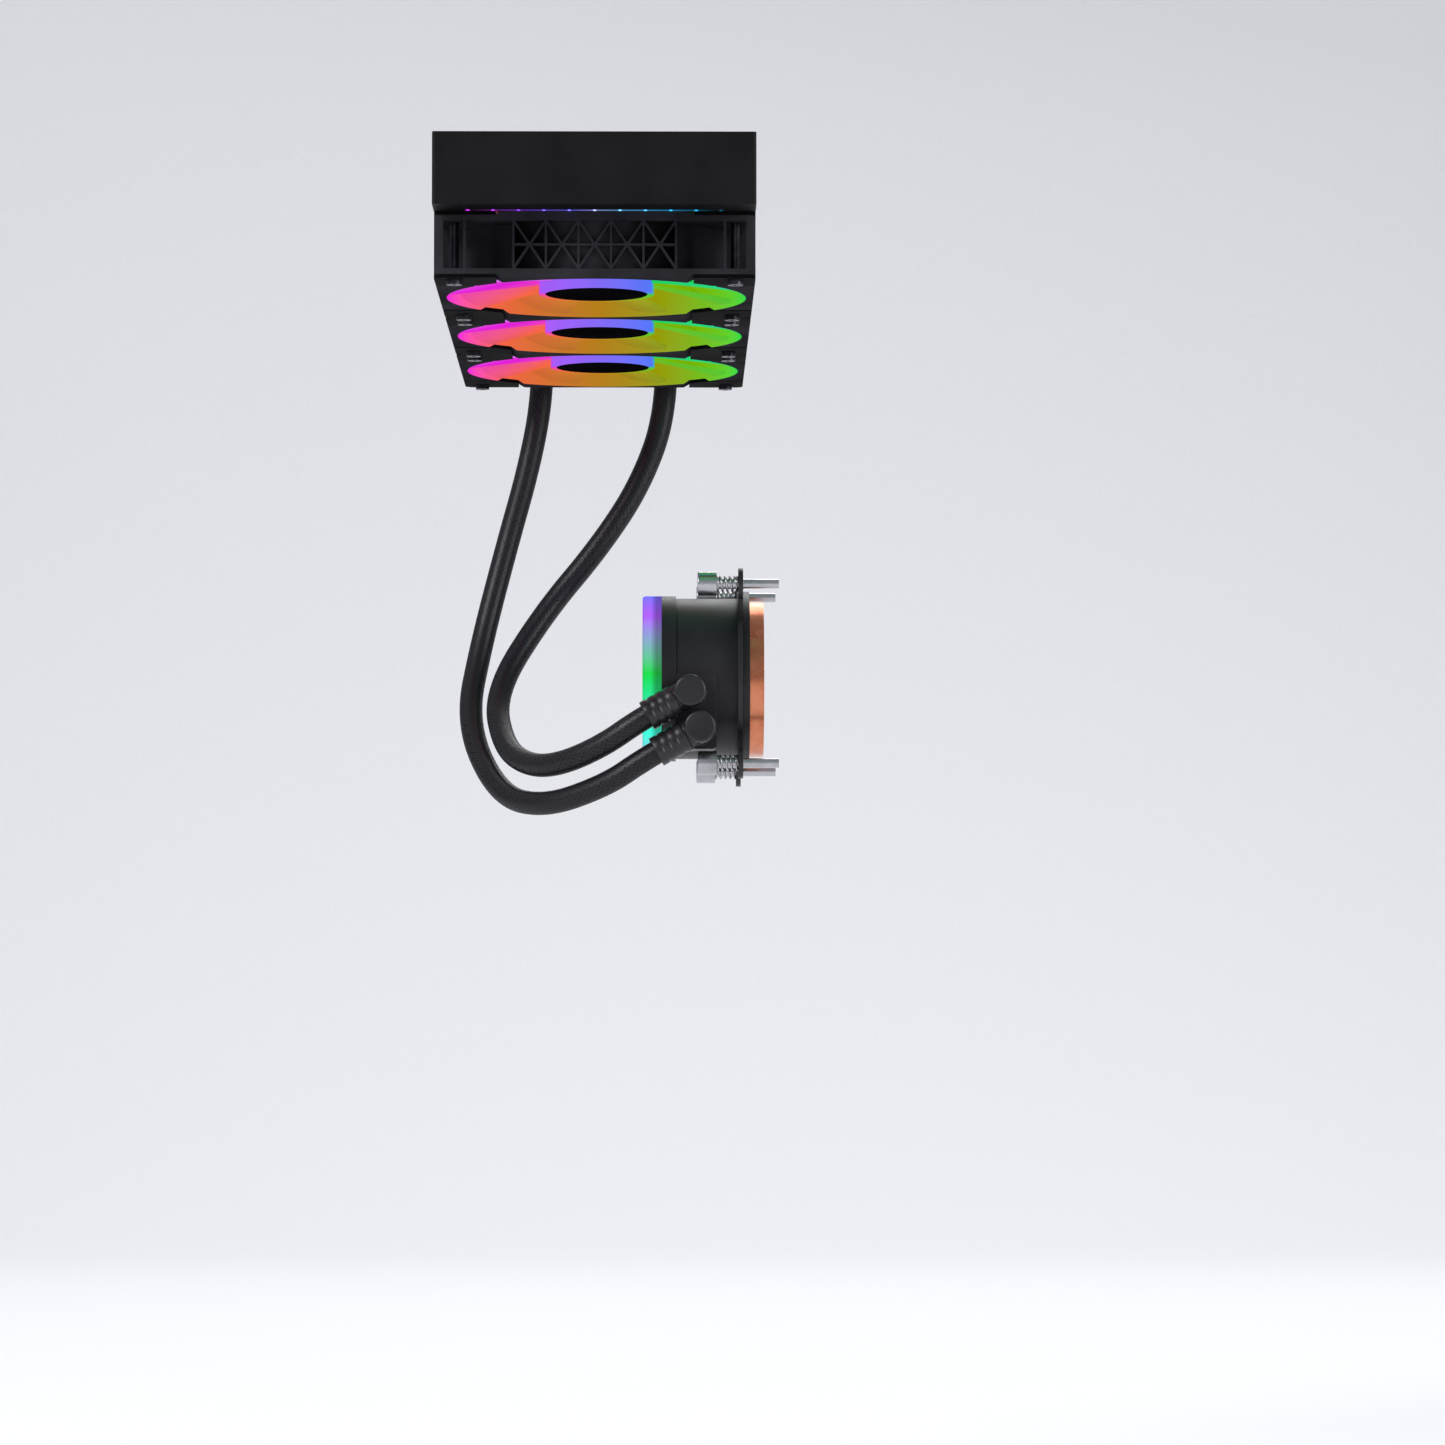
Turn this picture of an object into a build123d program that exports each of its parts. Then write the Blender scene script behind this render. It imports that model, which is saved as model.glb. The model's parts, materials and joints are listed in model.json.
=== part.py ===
from build123d import *
import math
import os

# A sealed liquid cooler: a long radiator, three lit fans on its underside, two
# braided hoses and a pump head with a cold plate.  Millimetres.  The origin is the
# centre of the radiator's top mounting face, +Y runs along the radiator towards the
# tank with the hose fittings, +X points at the wall the pump is pressed against.

os.makedirs("parts", exist_ok=True)

# ---------------------------------------------------------------- driving sizes
FAN_SIZE = 120.0
FAN_COUNT = 3
FAN_DEPTH = 25.0
SCREW_INSET = 7.5

RAD_THICK = 27.0
CORE_MARGIN = 0.5
TANK_LENGTH = 16.5
TANK_WALL = 1.5
TANK_EDGE_R = 1.2
HEADER_THICK = 1.5
TUBE_COUNT = 11
TUBE_PITCH = 9.45
TUBE_THICK = 2.0
TUBE_DEPTH = 18.0
TUBE_WALL = 0.35
TUBE_STICK_OUT = 1.5
BRAZE_GAP = 0.05
CHANNEL_SHEET = 1.0
CHANNEL_FLANGE = 12.5
FIN_SHEET = 0.3
FIN_PERIOD = 9.0
FIN_DEPTH = 17.0

SCREW_R = 1.7
THREAD_GAP = 0.05
SCREW_HEAD_R = 2.9
SCREW_HEAD_H = 1.8
SCREW_BITE = 3.0
SCREW_HOLE_GAP = 0.5
MOUNT_HOLE_R = 2.5

DUCT_MARGIN = 3.0
DUCT_WALL = 1.4
CORNER_R = 4.0
RIM_THICK = 3.5
PAD_THICK = 1.4
PAD_LENGTH = 25.5
PAD_SLOPE = 60.0
PAD_GAP = 0.4
TRUSS_END_GAP = 29.7
TRUSS_CELLS = 5
TRUSS_RIB = 0.9
TRUSS_SINK = 9.4
POST_INSET = 11.5
POST_WIDTH = 1.1
POST_REACH = 5.0
COLUMN_SIZE = 3.6
STRUT_COUNT = 4
STRUT_TURN = 45.0
STRUT_WIDTH = 5.0
STRUT_HEIGHT = 3.0
STRUT_SEAT = 0.3
MOTOR_PLATE_MARGIN = 0.5
MOTOR_PLATE_THICK = 2.0
MOTOR_PLATE_DROP = 0.6
LEAD_SLOT_WIDTH = 5.0

HUB_R = 22.0
HUB_WALL = 1.5
HUB_INSET = 1.5
HUB_HEIGHT = 19.5
HUB_FACE_THICK = 2.6
CAP_RIM = 2.4
CAP_THICK = 1.2
CAP_EDGE_R = 0.4
CAP_GAP = 0.1
BLADE_COUNT = 9
BLADE_TIP_GAP = 1.2
BLADE_TOP = 16.2
BLADE_ROOT_LEAD = 5.0
BLADE_TIP_LEAD = 0.7
BLADE_ROOT_SWEEP = 15.0
BLADE_TIP_SWEEP = 38.0
BLADE_THICK = 1.5
BLADE_CAMBER_SHARE = 0.11
BLADE_ROOT_SINK = 0.8

SHAFT_R = 1.5
RUNNING_GAP = 0.05
BEARING_R = 3.6
BEARING_LENGTH = 12.0
BEARING_TUBE_WALL = 1.3
SEAT_GAP = 0.02
MAGNET_THICK = 2.2
MAGNET_LENGTH = 11.0
STATOR_AIR_GAP = 0.6
STATOR_LENGTH = 8.0
POLE_COUNT = 4
POLE_WIDTH = 4.0
COIL_WIDTH = 7.6
COIL_MARGIN = 1.0
COIL_OFF = 1.5
FAN_BOARD_MARGIN = 4.0
FAN_BOARD_THICK = 0.8

HOSE_R = 5.0
FITTING_SPREAD = 27.0
FITTING_FLANGE_R = 8.0
FITTING_FLANGE_H = 2.0
FITTING_LENGTH = 12.0
FITTING_THREAD_R = 4.5
FITTING_BORE_R = 3.0
COLLAR_R = 6.5
COLLAR_GAP = 0.05
COLLAR_LENGTH = 14.0
COLLAR_ON_FITTING = 6.0

PLUG_R = 4.0
PLUG_HEAD_R = 6.0
PLUG_HEAD_H = 0.7
PLUG_AT_X = -38.0
PLUG_SOCKET_R = 2.0
PLUG_DEPTH = 2.6

PUMP_FACE_X = 17.0
PUMP_Y = 128.0
PUMP_Z = -182.0
PUMP_R = 35.0
LIGHT_RING_LENGTH = 8.0
LIGHT_RING_WALL = 3.5
LIGHT_RING_EDGE_R = 1.2
PUMP_CAP_THICK = 2.5
PUMP_CAP_EDGE_R = 0.6
BOARD_THICK = 1.0
SHELL_LENGTH = 6.0
SHELL_WALL = 2.0
HOUSING_R = 34.0
HOUSING_LENGTH = 31.0
FLANGE_R = 37.0
FLANGE_THICK = 3.0
CAN_R = 11.8
CAN_WALL = 1.2
CAN_END = 2.0
STATOR_POCKET_R = 19.0
STATOR_POCKET_DEPTH = 14.0
STATOR_END_GAP = 0.8
STATOR_NOTCH_COUNT = 4
STATOR_NOTCH_TURN = 45.0
STATOR_NOTCH_R = 2.0
VOLUTE_R = 18.0
VOLUTE_DEPTH = 10.0
CHAMBER_R = 27.2
CHAMBER_THICK = 2.0
INLET_COUNT = 4
INLET_R = 1.5
INLET_CIRCLE_R = 6.0
SEAL_WIDTH = 2.0
RECESS_R = 29.6
COLD_PLATE_R = 33.0
COLD_PLATE_THICK = 6.0
COLD_PLATE_FIN_DEPTH = 2.5
COLD_PLATE_FIN_HALF = 13.0
COLD_PLATE_FIN_PITCH = 1.0
COLD_PLATE_FIN_SLOT = 0.5
PLATE_SCREW_COUNT = 8
PLATE_SCREW_CIRCLE_R = 31.1
PLATE_SCREW_R = 1.0
PLATE_SCREW_HEAD_R = 1.4
PLATE_SCREW_LENGTH = 7.0
PLATE_SCREW_HEAD_H = 1.2
PORT_BORE_R = 2.8
PASSAGE_R = 23.5
BOSS_FACE_Y = 93.0
BOSS_HALF_X = 8.5
BOSS_MARGIN = 8.5
BOSS_EDGE_R = 2.0

ELBOW_Y = 82.0
ELBOW_R = 6.0
KNUCKLE_R = 6.6
KNUCKLE_REACH = 7.4
KNUCKLE_EDGE_R = 1.2
ELBOW_BORE_R = 3.2
ELBOW_BORE_REACH = 3.6
ELBOW_RING_R = 7.2
ELBOW_RING_LENGTH = 3.5
ELBOW_ARM = 13.0
ELBOW_TILT = 30.0
UPPER_PORT = (37.0, -190.0)
LOWER_PORT = (41.0, -205.0)
WASHER_R = 4.6
WASHER_THICK = 0.8

IMPELLER_GAP = 0.5
DISC_GAP = 0.8
IMPELLER_R = 16.5
IMPELLER_DISC = 1.2
VANE_COUNT = 6
VANE_HEIGHT = 4.0
VANE_THICK = 1.2
VANE_TURN = 20.0
IMPELLER_SHAFT_R = 1.4

BRACKET_THICK = 2.0
BRACKET_GAP = 0.3
BRACKET_RING_WIDTH = 4.5
BRACKET_SPACING = 75.0
BRACKET_ARM_COUNT = 4
BRACKET_ARM_TURN = 45.0
BRACKET_ARM_WIDTH = 11.0
BRACKET_EYE_R = 6.5
BRACKET_HOLE_GAP = 0.2
NUT_R = 5.0
NUT_LENGTH = 8.0
NUT_EDGE_R = 0.6
NUT_SLOT = 1.0
SPRING_LENGTH = 9.0
SPRING_OUTER_R = 3.4
SPRING_WIRE = 0.7
STUD_SHOULDER_R = 2.2
STUD_R = 2.0
STUD_REACH = 6.0

# ------------------------------------------------------------- places that follow
RAD_WIDTH = FAN_SIZE
HALF_WIDTH = RAD_WIDTH / 2
CORE_HALF = FAN_COUNT * FAN_SIZE / 2 + CORE_MARGIN
HEADER_OUT = CORE_HALF + HEADER_THICK
TANK_OUT = HEADER_OUT + TANK_LENGTH
RAD_MID_Z = -RAD_THICK / 2
FAN_TOP = -RAD_THICK
FAN_BOTTOM = FAN_TOP - FAN_DEPTH
FAN_MID_Z = FAN_TOP - FAN_DEPTH / 2
FAN_HALF = FAN_SIZE / 2
DUCT_R = FAN_HALF - DUCT_MARGIN
PAD_START = FAN_HALF - PAD_LENGTH
POST_AT = FAN_HALF - POST_INSET
COLUMN_FROM = FAN_HALF - COLUMN_SIZE
TRUSS_HALF = FAN_HALF - TRUSS_END_GAP
TRUSS_REACH = DUCT_MARGIN - DUCT_WALL + TRUSS_SINK
FAN_Y = [(i - (FAN_COUNT - 1) / 2) * FAN_SIZE for i in range(FAN_COUNT)]
FAN_NAMES = [f"fan_{i + 1}" for i in range(FAN_COUNT)]
SCREW_HALF = FAN_HALF - SCREW_INSET
SCREW_SPACING = 2 * SCREW_HALF
SCREW_HOLE_R = SCREW_R + SCREW_HOLE_GAP
PLATE_TOP = FAN_TOP - MOTOR_PLATE_DROP
PLATE_BOTTOM = PLATE_TOP - MOTOR_PLATE_THICK
HUB_FACE = FAN_BOTTOM + HUB_INSET
CAP_R = HUB_R - CAP_RIM
MOTOR_PLATE_R = HUB_R - MOTOR_PLATE_MARGIN
FAN_BOARD_R = MOTOR_PLATE_R - FAN_BOARD_MARGIN
MAGNET_R = HUB_R - HUB_WALL - SEAT_GAP
STATOR_R = MAGNET_R - MAGNET_THICK - STATOR_AIR_GAP
BLADE_ROOT_R = HUB_R - BLADE_ROOT_SINK
BLADE_TIP_R = DUCT_R - BLADE_TIP_GAP
BEARING_BOTTOM = PLATE_BOTTOM - BEARING_LENGTH
TUBE_XS = [(i - (TUBE_COUNT - 1) / 2) * TUBE_PITCH for i in range(TUBE_COUNT)]
FITTING_Y = HEADER_OUT + TANK_LENGTH / 2
FITTING_END = -RAD_THICK - FITTING_LENGTH
RING_BACK_X = PUMP_FACE_X + LIGHT_RING_LENGTH
HOUSING_X = RING_BACK_X + SHELL_LENGTH
PLATE_X = HOUSING_X + HOUSING_LENGTH
COLD_FACE_X = PLATE_X + COLD_PLATE_THICK
RECESS_X = PLATE_X - CHAMBER_THICK
VOLUTE_X = RECESS_X - VOLUTE_DEPTH
BRACKET_X = PLATE_X - FLANGE_THICK - BRACKET_THICK
ARM_DIRECTION = (-math.cos(math.radians(ELBOW_TILT)), 0.0, -math.sin(math.radians(ELBOW_TILT)))


def keep(piece, name):
    """Labels a finished piece and writes it as its own file."""
    piece.part.label = name
    export_step(piece.part, f"parts/{name}.step")


def across(x):
    """A plane square to the pump's axis: its X runs along Y, its normal along +X."""
    return Plane(origin=(x, PUMP_Y, PUMP_Z), x_dir=(0, 1, 0), z_dir=(1, 0, 0))


def on_arm(port, reach):
    """The point that lies reach along an elbow's outlet arm."""
    corner = Vector(port[0], ELBOW_Y, port[1])
    return corner + Vector(*ARM_DIRECTION) * reach


# ---------------------------------------------------------------- radiator tanks
def end_tank(side, name):
    """A folded tank, open towards the core; the rear one takes hoses and a plug."""
    inner = HEADER_OUT if side > 0 else -TANK_OUT
    cavity = inner if side > 0 else inner + TANK_WALL
    with BuildPart() as tank:
        with BuildSketch(Plane.XZ.offset(-inner)):
            with Locations((0, RAD_MID_Z)):
                Rectangle(RAD_WIDTH, RAD_THICK)
        extrude(amount=-TANK_LENGTH)
        outer = tank.faces().sort_by(Axis.Y)[-1 if side > 0 else 0]
        fillet(outer.edges().filter_by(Axis.Z), radius=TANK_EDGE_R)
        with BuildSketch(Plane.XZ.offset(-cavity)):
            with Locations((0, RAD_MID_Z)):
                Rectangle(RAD_WIDTH - 2 * TANK_WALL, RAD_THICK - 2 * TANK_WALL)
        extrude(amount=-(TANK_LENGTH - TANK_WALL), mode=Mode.SUBTRACT)
        if side > 0:
            with BuildSketch(Plane.XZ.offset(-inner)):
                with Locations((TUBE_PITCH / 2, RAD_MID_Z)):
                    Rectangle(TANK_WALL, RAD_THICK - 2 * TANK_WALL)
            extrude(amount=-(TANK_LENGTH - TANK_WALL))
            with BuildSketch(Plane.XY.offset(-RAD_THICK)):
                with Locations((-FITTING_SPREAD, FITTING_Y), (FITTING_SPREAD, FITTING_Y)):
                    Circle(FITTING_THREAD_R + SEAT_GAP)
            extrude(amount=TANK_WALL, mode=Mode.SUBTRACT)
            with BuildSketch(Plane.XZ.offset(-(TANK_OUT - TANK_WALL))):
                with Locations((PLUG_AT_X, RAD_MID_Z)):
                    Circle(PLUG_R + SEAT_GAP)
            extrude(amount=-TANK_WALL, mode=Mode.SUBTRACT)
    keep(tank, name)


def header_plate(side, name):
    """The plate between core and tank, slotted for every flat tube."""
    start = CORE_HALF if side > 0 else -HEADER_OUT
    with BuildPart() as header:
        with BuildSketch(Plane.XZ.offset(-start)):
            with Locations((0, RAD_MID_Z)):
                Rectangle(RAD_WIDTH, RAD_THICK)
            with Locations(*[(x, RAD_MID_Z) for x in TUBE_XS]):
                slot = TUBE_THICK + 2 * BRAZE_GAP
                SlotOverall(TUBE_DEPTH + 2 * BRAZE_GAP, slot, rotation=90, mode=Mode.SUBTRACT)
        extrude(amount=-HEADER_THICK)
    keep(header, name)


end_tank(-1, "tank_front")
end_tank(1, "tank_rear")
header_plate(-1, "header_front")
header_plate(1, "header_rear")

# ------------------------------------------------------------------ radiator core
TUBE_END = HEADER_OUT + TUBE_STICK_OUT
with BuildPart() as flat_tubes:
    with BuildSketch(Plane.XZ.offset(-TUBE_END)):
        with Locations(*[(x, RAD_MID_Z) for x in TUBE_XS]):
            SlotOverall(TUBE_DEPTH, TUBE_THICK, rotation=90)
            bore = TUBE_THICK - 2 * TUBE_WALL
            SlotOverall(TUBE_DEPTH - 2 * TUBE_WALL, bore, rotation=90, mode=Mode.SUBTRACT)
    extrude(amount=2 * TUBE_END)
keep(flat_tubes, "flat_tubes")

# Each pack is one folded ribbon that zigzags from wall to wall along the core.
WEB_INNER = HALF_WIDTH - CHANNEL_SHEET
PACK_WALLS = [-WEB_INNER]
for tube_x in TUBE_XS:
    PACK_WALLS += [tube_x - TUBE_THICK / 2, tube_x + TUBE_THICK / 2]
PACK_WALLS.append(WEB_INNER)


def ribbon_outline(low, high):
    """The corners of one folded ribbon: out along one face, back along the other."""
    folds = int(2 * CORE_HALF / FIN_PERIOD)
    first = -folds * FIN_PERIOD / 2
    out, back = [], []
    for i in range(folds):
        y = first + i * FIN_PERIOD
        half = FIN_PERIOD / 2
        out += [(low, y), (low, y + half), (high - FIN_SHEET, y + half)]
        out += [(high - FIN_SHEET, y + FIN_PERIOD)]
        back += [(low + FIN_SHEET, y + FIN_SHEET), (low + FIN_SHEET, y + half - FIN_SHEET)]
        back += [(high, y + half - FIN_SHEET), (high, y + FIN_PERIOD + FIN_SHEET)]
    return out + list(reversed(back))


with BuildPart() as fin_packs:
    with BuildSketch(Plane.XY.offset(RAD_MID_Z - FIN_DEPTH / 2)):
        for low_wall, high_wall in zip(PACK_WALLS[::2], PACK_WALLS[1::2]):
            with BuildLine():
                Polyline(*ribbon_outline(low_wall, high_wall), close=True)
            make_face()
    extrude(amount=FIN_DEPTH)
keep(fin_packs, "fin_packs")


def side_channel(side, name):
    """A C-section side frame, drilled along both flanges for the fans and the mount."""
    with BuildPart() as channel:
        with BuildSketch(Plane.XZ.offset(-CORE_HALF)):
            with Locations((side * (HALF_WIDTH - CHANNEL_FLANGE / 2), RAD_MID_Z)):
                Rectangle(CHANNEL_FLANGE, RAD_THICK)
            with Locations((side * (HALF_WIDTH - CHANNEL_SHEET - CHANNEL_FLANGE / 2), RAD_MID_Z)):
                Rectangle(CHANNEL_FLANGE, RAD_THICK - 2 * CHANNEL_SHEET, mode=Mode.SUBTRACT)
        extrude(amount=2 * CORE_HALF)
        corners = [(side * SCREW_HALF, y + s * SCREW_HALF) for y in FAN_Y for s in (-1, 1)]
        with BuildSketch(Plane.XY.offset(-RAD_THICK)):
            with Locations(*corners):
                Circle(SCREW_R + THREAD_GAP)
        extrude(amount=CHANNEL_SHEET, mode=Mode.SUBTRACT)
        with BuildSketch(Plane.XY):
            with Locations(*corners):
                Circle(MOUNT_HOLE_R)
        extrude(amount=-CHANNEL_SHEET, mode=Mode.SUBTRACT)
    keep(channel, name)


side_channel(-1, "side_channel_left")
side_channel(1, "side_channel_right")

# ---------------------------------------------------------------------- fill plug
with BuildPart() as fill_plug:
    with BuildSketch(Plane.XZ.offset(-TANK_OUT)):
        with Locations((PLUG_AT_X, RAD_MID_Z)):
            Circle(PLUG_R)
    extrude(amount=PLUG_DEPTH)
    with BuildSketch(Plane.XZ.offset(-(TANK_OUT + WASHER_THICK))):
        with Locations((PLUG_AT_X, RAD_MID_Z)):
            Circle(PLUG_HEAD_R)
    extrude(amount=-PLUG_HEAD_H)
    with BuildSketch(Plane.XZ.offset(-TANK_OUT)):
        with Locations((PLUG_AT_X, RAD_MID_Z)):
            Circle(PLUG_R)
    extrude(amount=-WASHER_THICK)
    with BuildSketch(Plane.XZ.offset(-(TANK_OUT + WASHER_THICK + PLUG_HEAD_H))):
        with Locations((PLUG_AT_X, RAD_MID_Z)):
            RegularPolygon(PLUG_SOCKET_R, 6)
    extrude(amount=PLUG_DEPTH / 2, mode=Mode.SUBTRACT)
keep(fill_plug, "fill_plug")


# ------------------------------------------------------------------ hose fittings
def hose_fitting(side, name):
    """A flanged fitting screwed into the rear tank, its nipple pointing down."""
    spot = (side * FITTING_SPREAD, FITTING_Y)
    with BuildPart() as fitting:
        with BuildSketch(Plane.XY.offset(FITTING_END)):
            with Locations(spot):
                Circle(HOSE_R)
        extrude(amount=FITTING_LENGTH)
        with BuildSketch(Plane.XY.offset(-RAD_THICK)):
            with Locations(spot):
                Circle(FITTING_THREAD_R)
        extrude(amount=TANK_WALL + TUBE_STICK_OUT)
        with BuildSketch(Plane.XY.offset(-RAD_THICK)):
            with Locations(spot):
                Circle(FITTING_FLANGE_R)
        extrude(amount=-FITTING_FLANGE_H)
        with BuildSketch(Plane.XY.offset(FITTING_END)):
            with Locations(spot):
                Circle(FITTING_BORE_R)
        extrude(amount=FITTING_LENGTH + TANK_WALL + TUBE_STICK_OUT, mode=Mode.SUBTRACT)
    keep(fitting, name)


hose_fitting(-1, "hose_fitting_left")
hose_fitting(1, "hose_fitting_right")


# --------------------------------------------------------------------- fan frames
def side_plane(y, quarter):
    """The outer plane of one side of a fan, looking in; its Y axis points up."""
    angle = math.radians(90 * quarter)
    inward = (math.cos(angle), math.sin(angle), 0)
    origin = (-FAN_HALF * inward[0], y - FAN_HALF * inward[1], FAN_MID_Z)
    return Plane(origin=origin, x_dir=(-inward[1], inward[0], 0), z_dir=inward)


def fan_frame(y, name):
    """Square frame: duct, rims with dropped corners, lattice sides, motor mount."""
    web_height = FAN_DEPTH - 2 * RIM_THICK
    cell = 2 * TRUSS_HALF / TRUSS_CELLS
    diagonal = math.hypot(cell, web_height)
    tilt = math.degrees(math.atan2(web_height, cell))
    ribs = [-TRUSS_HALF + i * cell for i in range(TRUSS_CELLS + 1)]
    corner_mid = (PAD_START + FAN_HALF) / 2 + CORNER_R
    corner_size = FAN_HALF - PAD_START + 2 * CORNER_R
    with BuildPart() as frame:
        with BuildSketch(Plane((0, y, FAN_BOTTOM))):
            Circle(DUCT_R + DUCT_WALL)
        extrude(amount=FAN_DEPTH)
        for level in (FAN_BOTTOM, FAN_TOP - RIM_THICK):
            with BuildSketch(Plane((0, y, level))):
                RectangleRounded(FAN_SIZE, FAN_SIZE, CORNER_R)
            extrude(amount=RIM_THICK)
        for level, way in ((FAN_BOTTOM, 1), (FAN_TOP, -1)):
            with BuildSketch(Plane((0, y, level))):
                with GridLocations(2 * corner_mid, 2 * corner_mid, 2, 2):
                    Rectangle(corner_size, corner_size)
            extrude(amount=way * PAD_THICK, taper=PAD_SLOPE, mode=Mode.SUBTRACT)
        for quarter in range(4):
            with BuildSketch(side_plane(y, quarter)):
                with Locations(*[(x, 0) for x in ribs]):
                    Rectangle(TRUSS_RIB, web_height)
                Rectangle(2 * TRUSS_HALF, TRUSS_RIB)
                for left in ribs[:-1]:
                    with Locations((left + cell / 2, 0)):
                        Rectangle(diagonal, TRUSS_RIB, rotation=tilt)
                        Rectangle(diagonal, TRUSS_RIB, rotation=-tilt)
            extrude(amount=TRUSS_REACH)
            with BuildSketch(side_plane(y, quarter)):
                with Locations((-POST_AT, 0), (POST_AT, 0)):
                    Rectangle(POST_WIDTH, web_height)
            extrude(amount=POST_REACH)
        with BuildSketch(Plane((0, y, FAN_BOTTOM + RIM_THICK))):
            RectangleRounded(FAN_SIZE, FAN_SIZE, CORNER_R)
            Rectangle(FAN_SIZE, 2 * COLUMN_FROM, mode=Mode.SUBTRACT)
            Rectangle(2 * COLUMN_FROM, FAN_SIZE, mode=Mode.SUBTRACT)
        extrude(amount=web_height)
        with BuildSketch(Plane((0, y, FAN_BOTTOM))):
            Circle(DUCT_R)
        extrude(amount=FAN_DEPTH, mode=Mode.SUBTRACT)
        with BuildSketch(Plane((0, y, FAN_BOTTOM))):
            with GridLocations(SCREW_SPACING, SCREW_SPACING, 2, 2):
                Circle(SCREW_HOLE_R)
        extrude(amount=FAN_DEPTH, mode=Mode.SUBTRACT)
        with BuildSketch(Plane((0, y, PLATE_TOP - STRUT_HEIGHT))):
            with PolarLocations((MOTOR_PLATE_R + DUCT_R) / 2, STRUT_COUNT, STRUT_TURN):
                Rectangle(DUCT_R - MOTOR_PLATE_R + 2 * STRUT_SEAT, STRUT_WIDTH)
        extrude(amount=STRUT_HEIGHT)
        with BuildSketch(Plane((0, y, PLATE_BOTTOM))):
            Circle(MOTOR_PLATE_R)
        extrude(amount=MOTOR_PLATE_THICK)
        with BuildSketch(Plane((0, y, BEARING_BOTTOM))):
            Circle(BEARING_R + SEAT_GAP + BEARING_TUBE_WALL)
        extrude(amount=BEARING_LENGTH)
        with BuildSketch(Plane((0, y, BEARING_BOTTOM))):
            Circle(BEARING_R + SEAT_GAP)
        extrude(amount=BEARING_LENGTH, mode=Mode.SUBTRACT)
        with BuildSketch(Plane((0, y, FAN_TOP - RIM_THICK))):
            with Locations((DUCT_R + LEAD_SLOT_WIDTH / 2, 0)):
                Rectangle(LEAD_SLOT_WIDTH + 2 * DUCT_WALL, LEAD_SLOT_WIDTH)
        extrude(amount=RIM_THICK, mode=Mode.SUBTRACT)
    keep(frame, name)


def corner_pads(y, name):
    """Eight rubber pads that fill the dropped corners, back to the frame's full depth."""
    edge = math.tan(math.radians(PAD_SLOPE)) * PAD_THICK
    reach = FAN_HALF - PAD_START - edge
    with BuildPart() as pads:
        for level, way in ((FAN_BOTTOM, 1), (FAN_TOP, -1)):
            with BuildSketch(Plane((0, y, level))):
                RectangleRounded(FAN_SIZE, FAN_SIZE, CORNER_R)
                Rectangle(FAN_SIZE, FAN_SIZE - 2 * reach, mode=Mode.SUBTRACT)
                Rectangle(FAN_SIZE - 2 * reach, FAN_SIZE, mode=Mode.SUBTRACT)
                Circle(DUCT_R + PAD_GAP, mode=Mode.SUBTRACT)
                with GridLocations(SCREW_SPACING, SCREW_SPACING, 2, 2):
                    Circle(SCREW_HOLE_R, mode=Mode.SUBTRACT)
            extrude(amount=way * PAD_THICK)
    keep(pads, name)


# --------------------------------------------------------------------- fan rotors
def blade_section(y, radius, sweep, lead):
    """One cambered blade section, on a plane square to the radius."""
    rise = BLADE_TOP - lead
    mid_z = FAN_BOTTOM + lead + rise / 2
    face = Plane(origin=(radius, y, mid_z), x_dir=(0, 1, 0), z_dir=(1, 0, 0))
    low, high = (-sweep / 2, -rise / 2), (sweep / 2, rise / 2)
    length = math.hypot(sweep, rise)
    off = (-rise / length, sweep / length)
    camber = -BLADE_CAMBER_SHARE * length
    bow = (off[0] * camber, off[1] * camber)
    thick = (off[0] * BLADE_THICK, off[1] * BLADE_THICK)
    with BuildSketch(face) as section:
        with BuildLine():
            ThreePointArc(low, bow, high)
            far = (high[0] + thick[0], high[1] + thick[1])
            near = (low[0] + thick[0], low[1] + thick[1])
            crown = (bow[0] + thick[0], bow[1] + thick[1])
            Line(high, far)
            ThreePointArc(far, crown, near)
            Line(near, low)
        make_face()
    return section.sketch


def fan_rotor(y, name):
    """Hub cup with its blades, in one moulding."""
    with BuildPart() as blade:
        loft([
            blade_section(y, BLADE_ROOT_R, BLADE_ROOT_SWEEP, BLADE_ROOT_LEAD).face(),
            blade_section(y, DUCT_R, BLADE_TIP_SWEEP, BLADE_TIP_LEAD).face(),
        ])
    with BuildPart() as rotor:
        for i in range(BLADE_COUNT):
            add(blade.part.rotate(Axis((0, y, 0), (0, 0, 1)), i * 360 / BLADE_COUNT))
        with BuildSketch(Plane((0, y, FAN_BOTTOM))):
            Circle(FAN_SIZE)
            Circle(BLADE_TIP_R, mode=Mode.SUBTRACT)
        extrude(amount=FAN_DEPTH, mode=Mode.SUBTRACT)
        with BuildSketch(Plane((0, y, HUB_FACE))):
            Circle(HUB_R)
        extrude(amount=HUB_HEIGHT)
        with BuildSketch(Plane((0, y, HUB_FACE + HUB_FACE_THICK))):
            Circle(HUB_R - HUB_WALL)
        extrude(amount=HUB_HEIGHT - HUB_FACE_THICK, mode=Mode.SUBTRACT)
        with BuildSketch(Plane((0, y, HUB_FACE))):
            Circle(CAP_R + CAP_GAP)
        extrude(amount=CAP_THICK, mode=Mode.SUBTRACT)
        with BuildSketch(Plane((0, y, HUB_FACE + CAP_THICK))):
            Circle(SHAFT_R + SEAT_GAP)
        extrude(amount=HUB_FACE_THICK - CAP_THICK, mode=Mode.SUBTRACT)
    keep(rotor, name)


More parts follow.
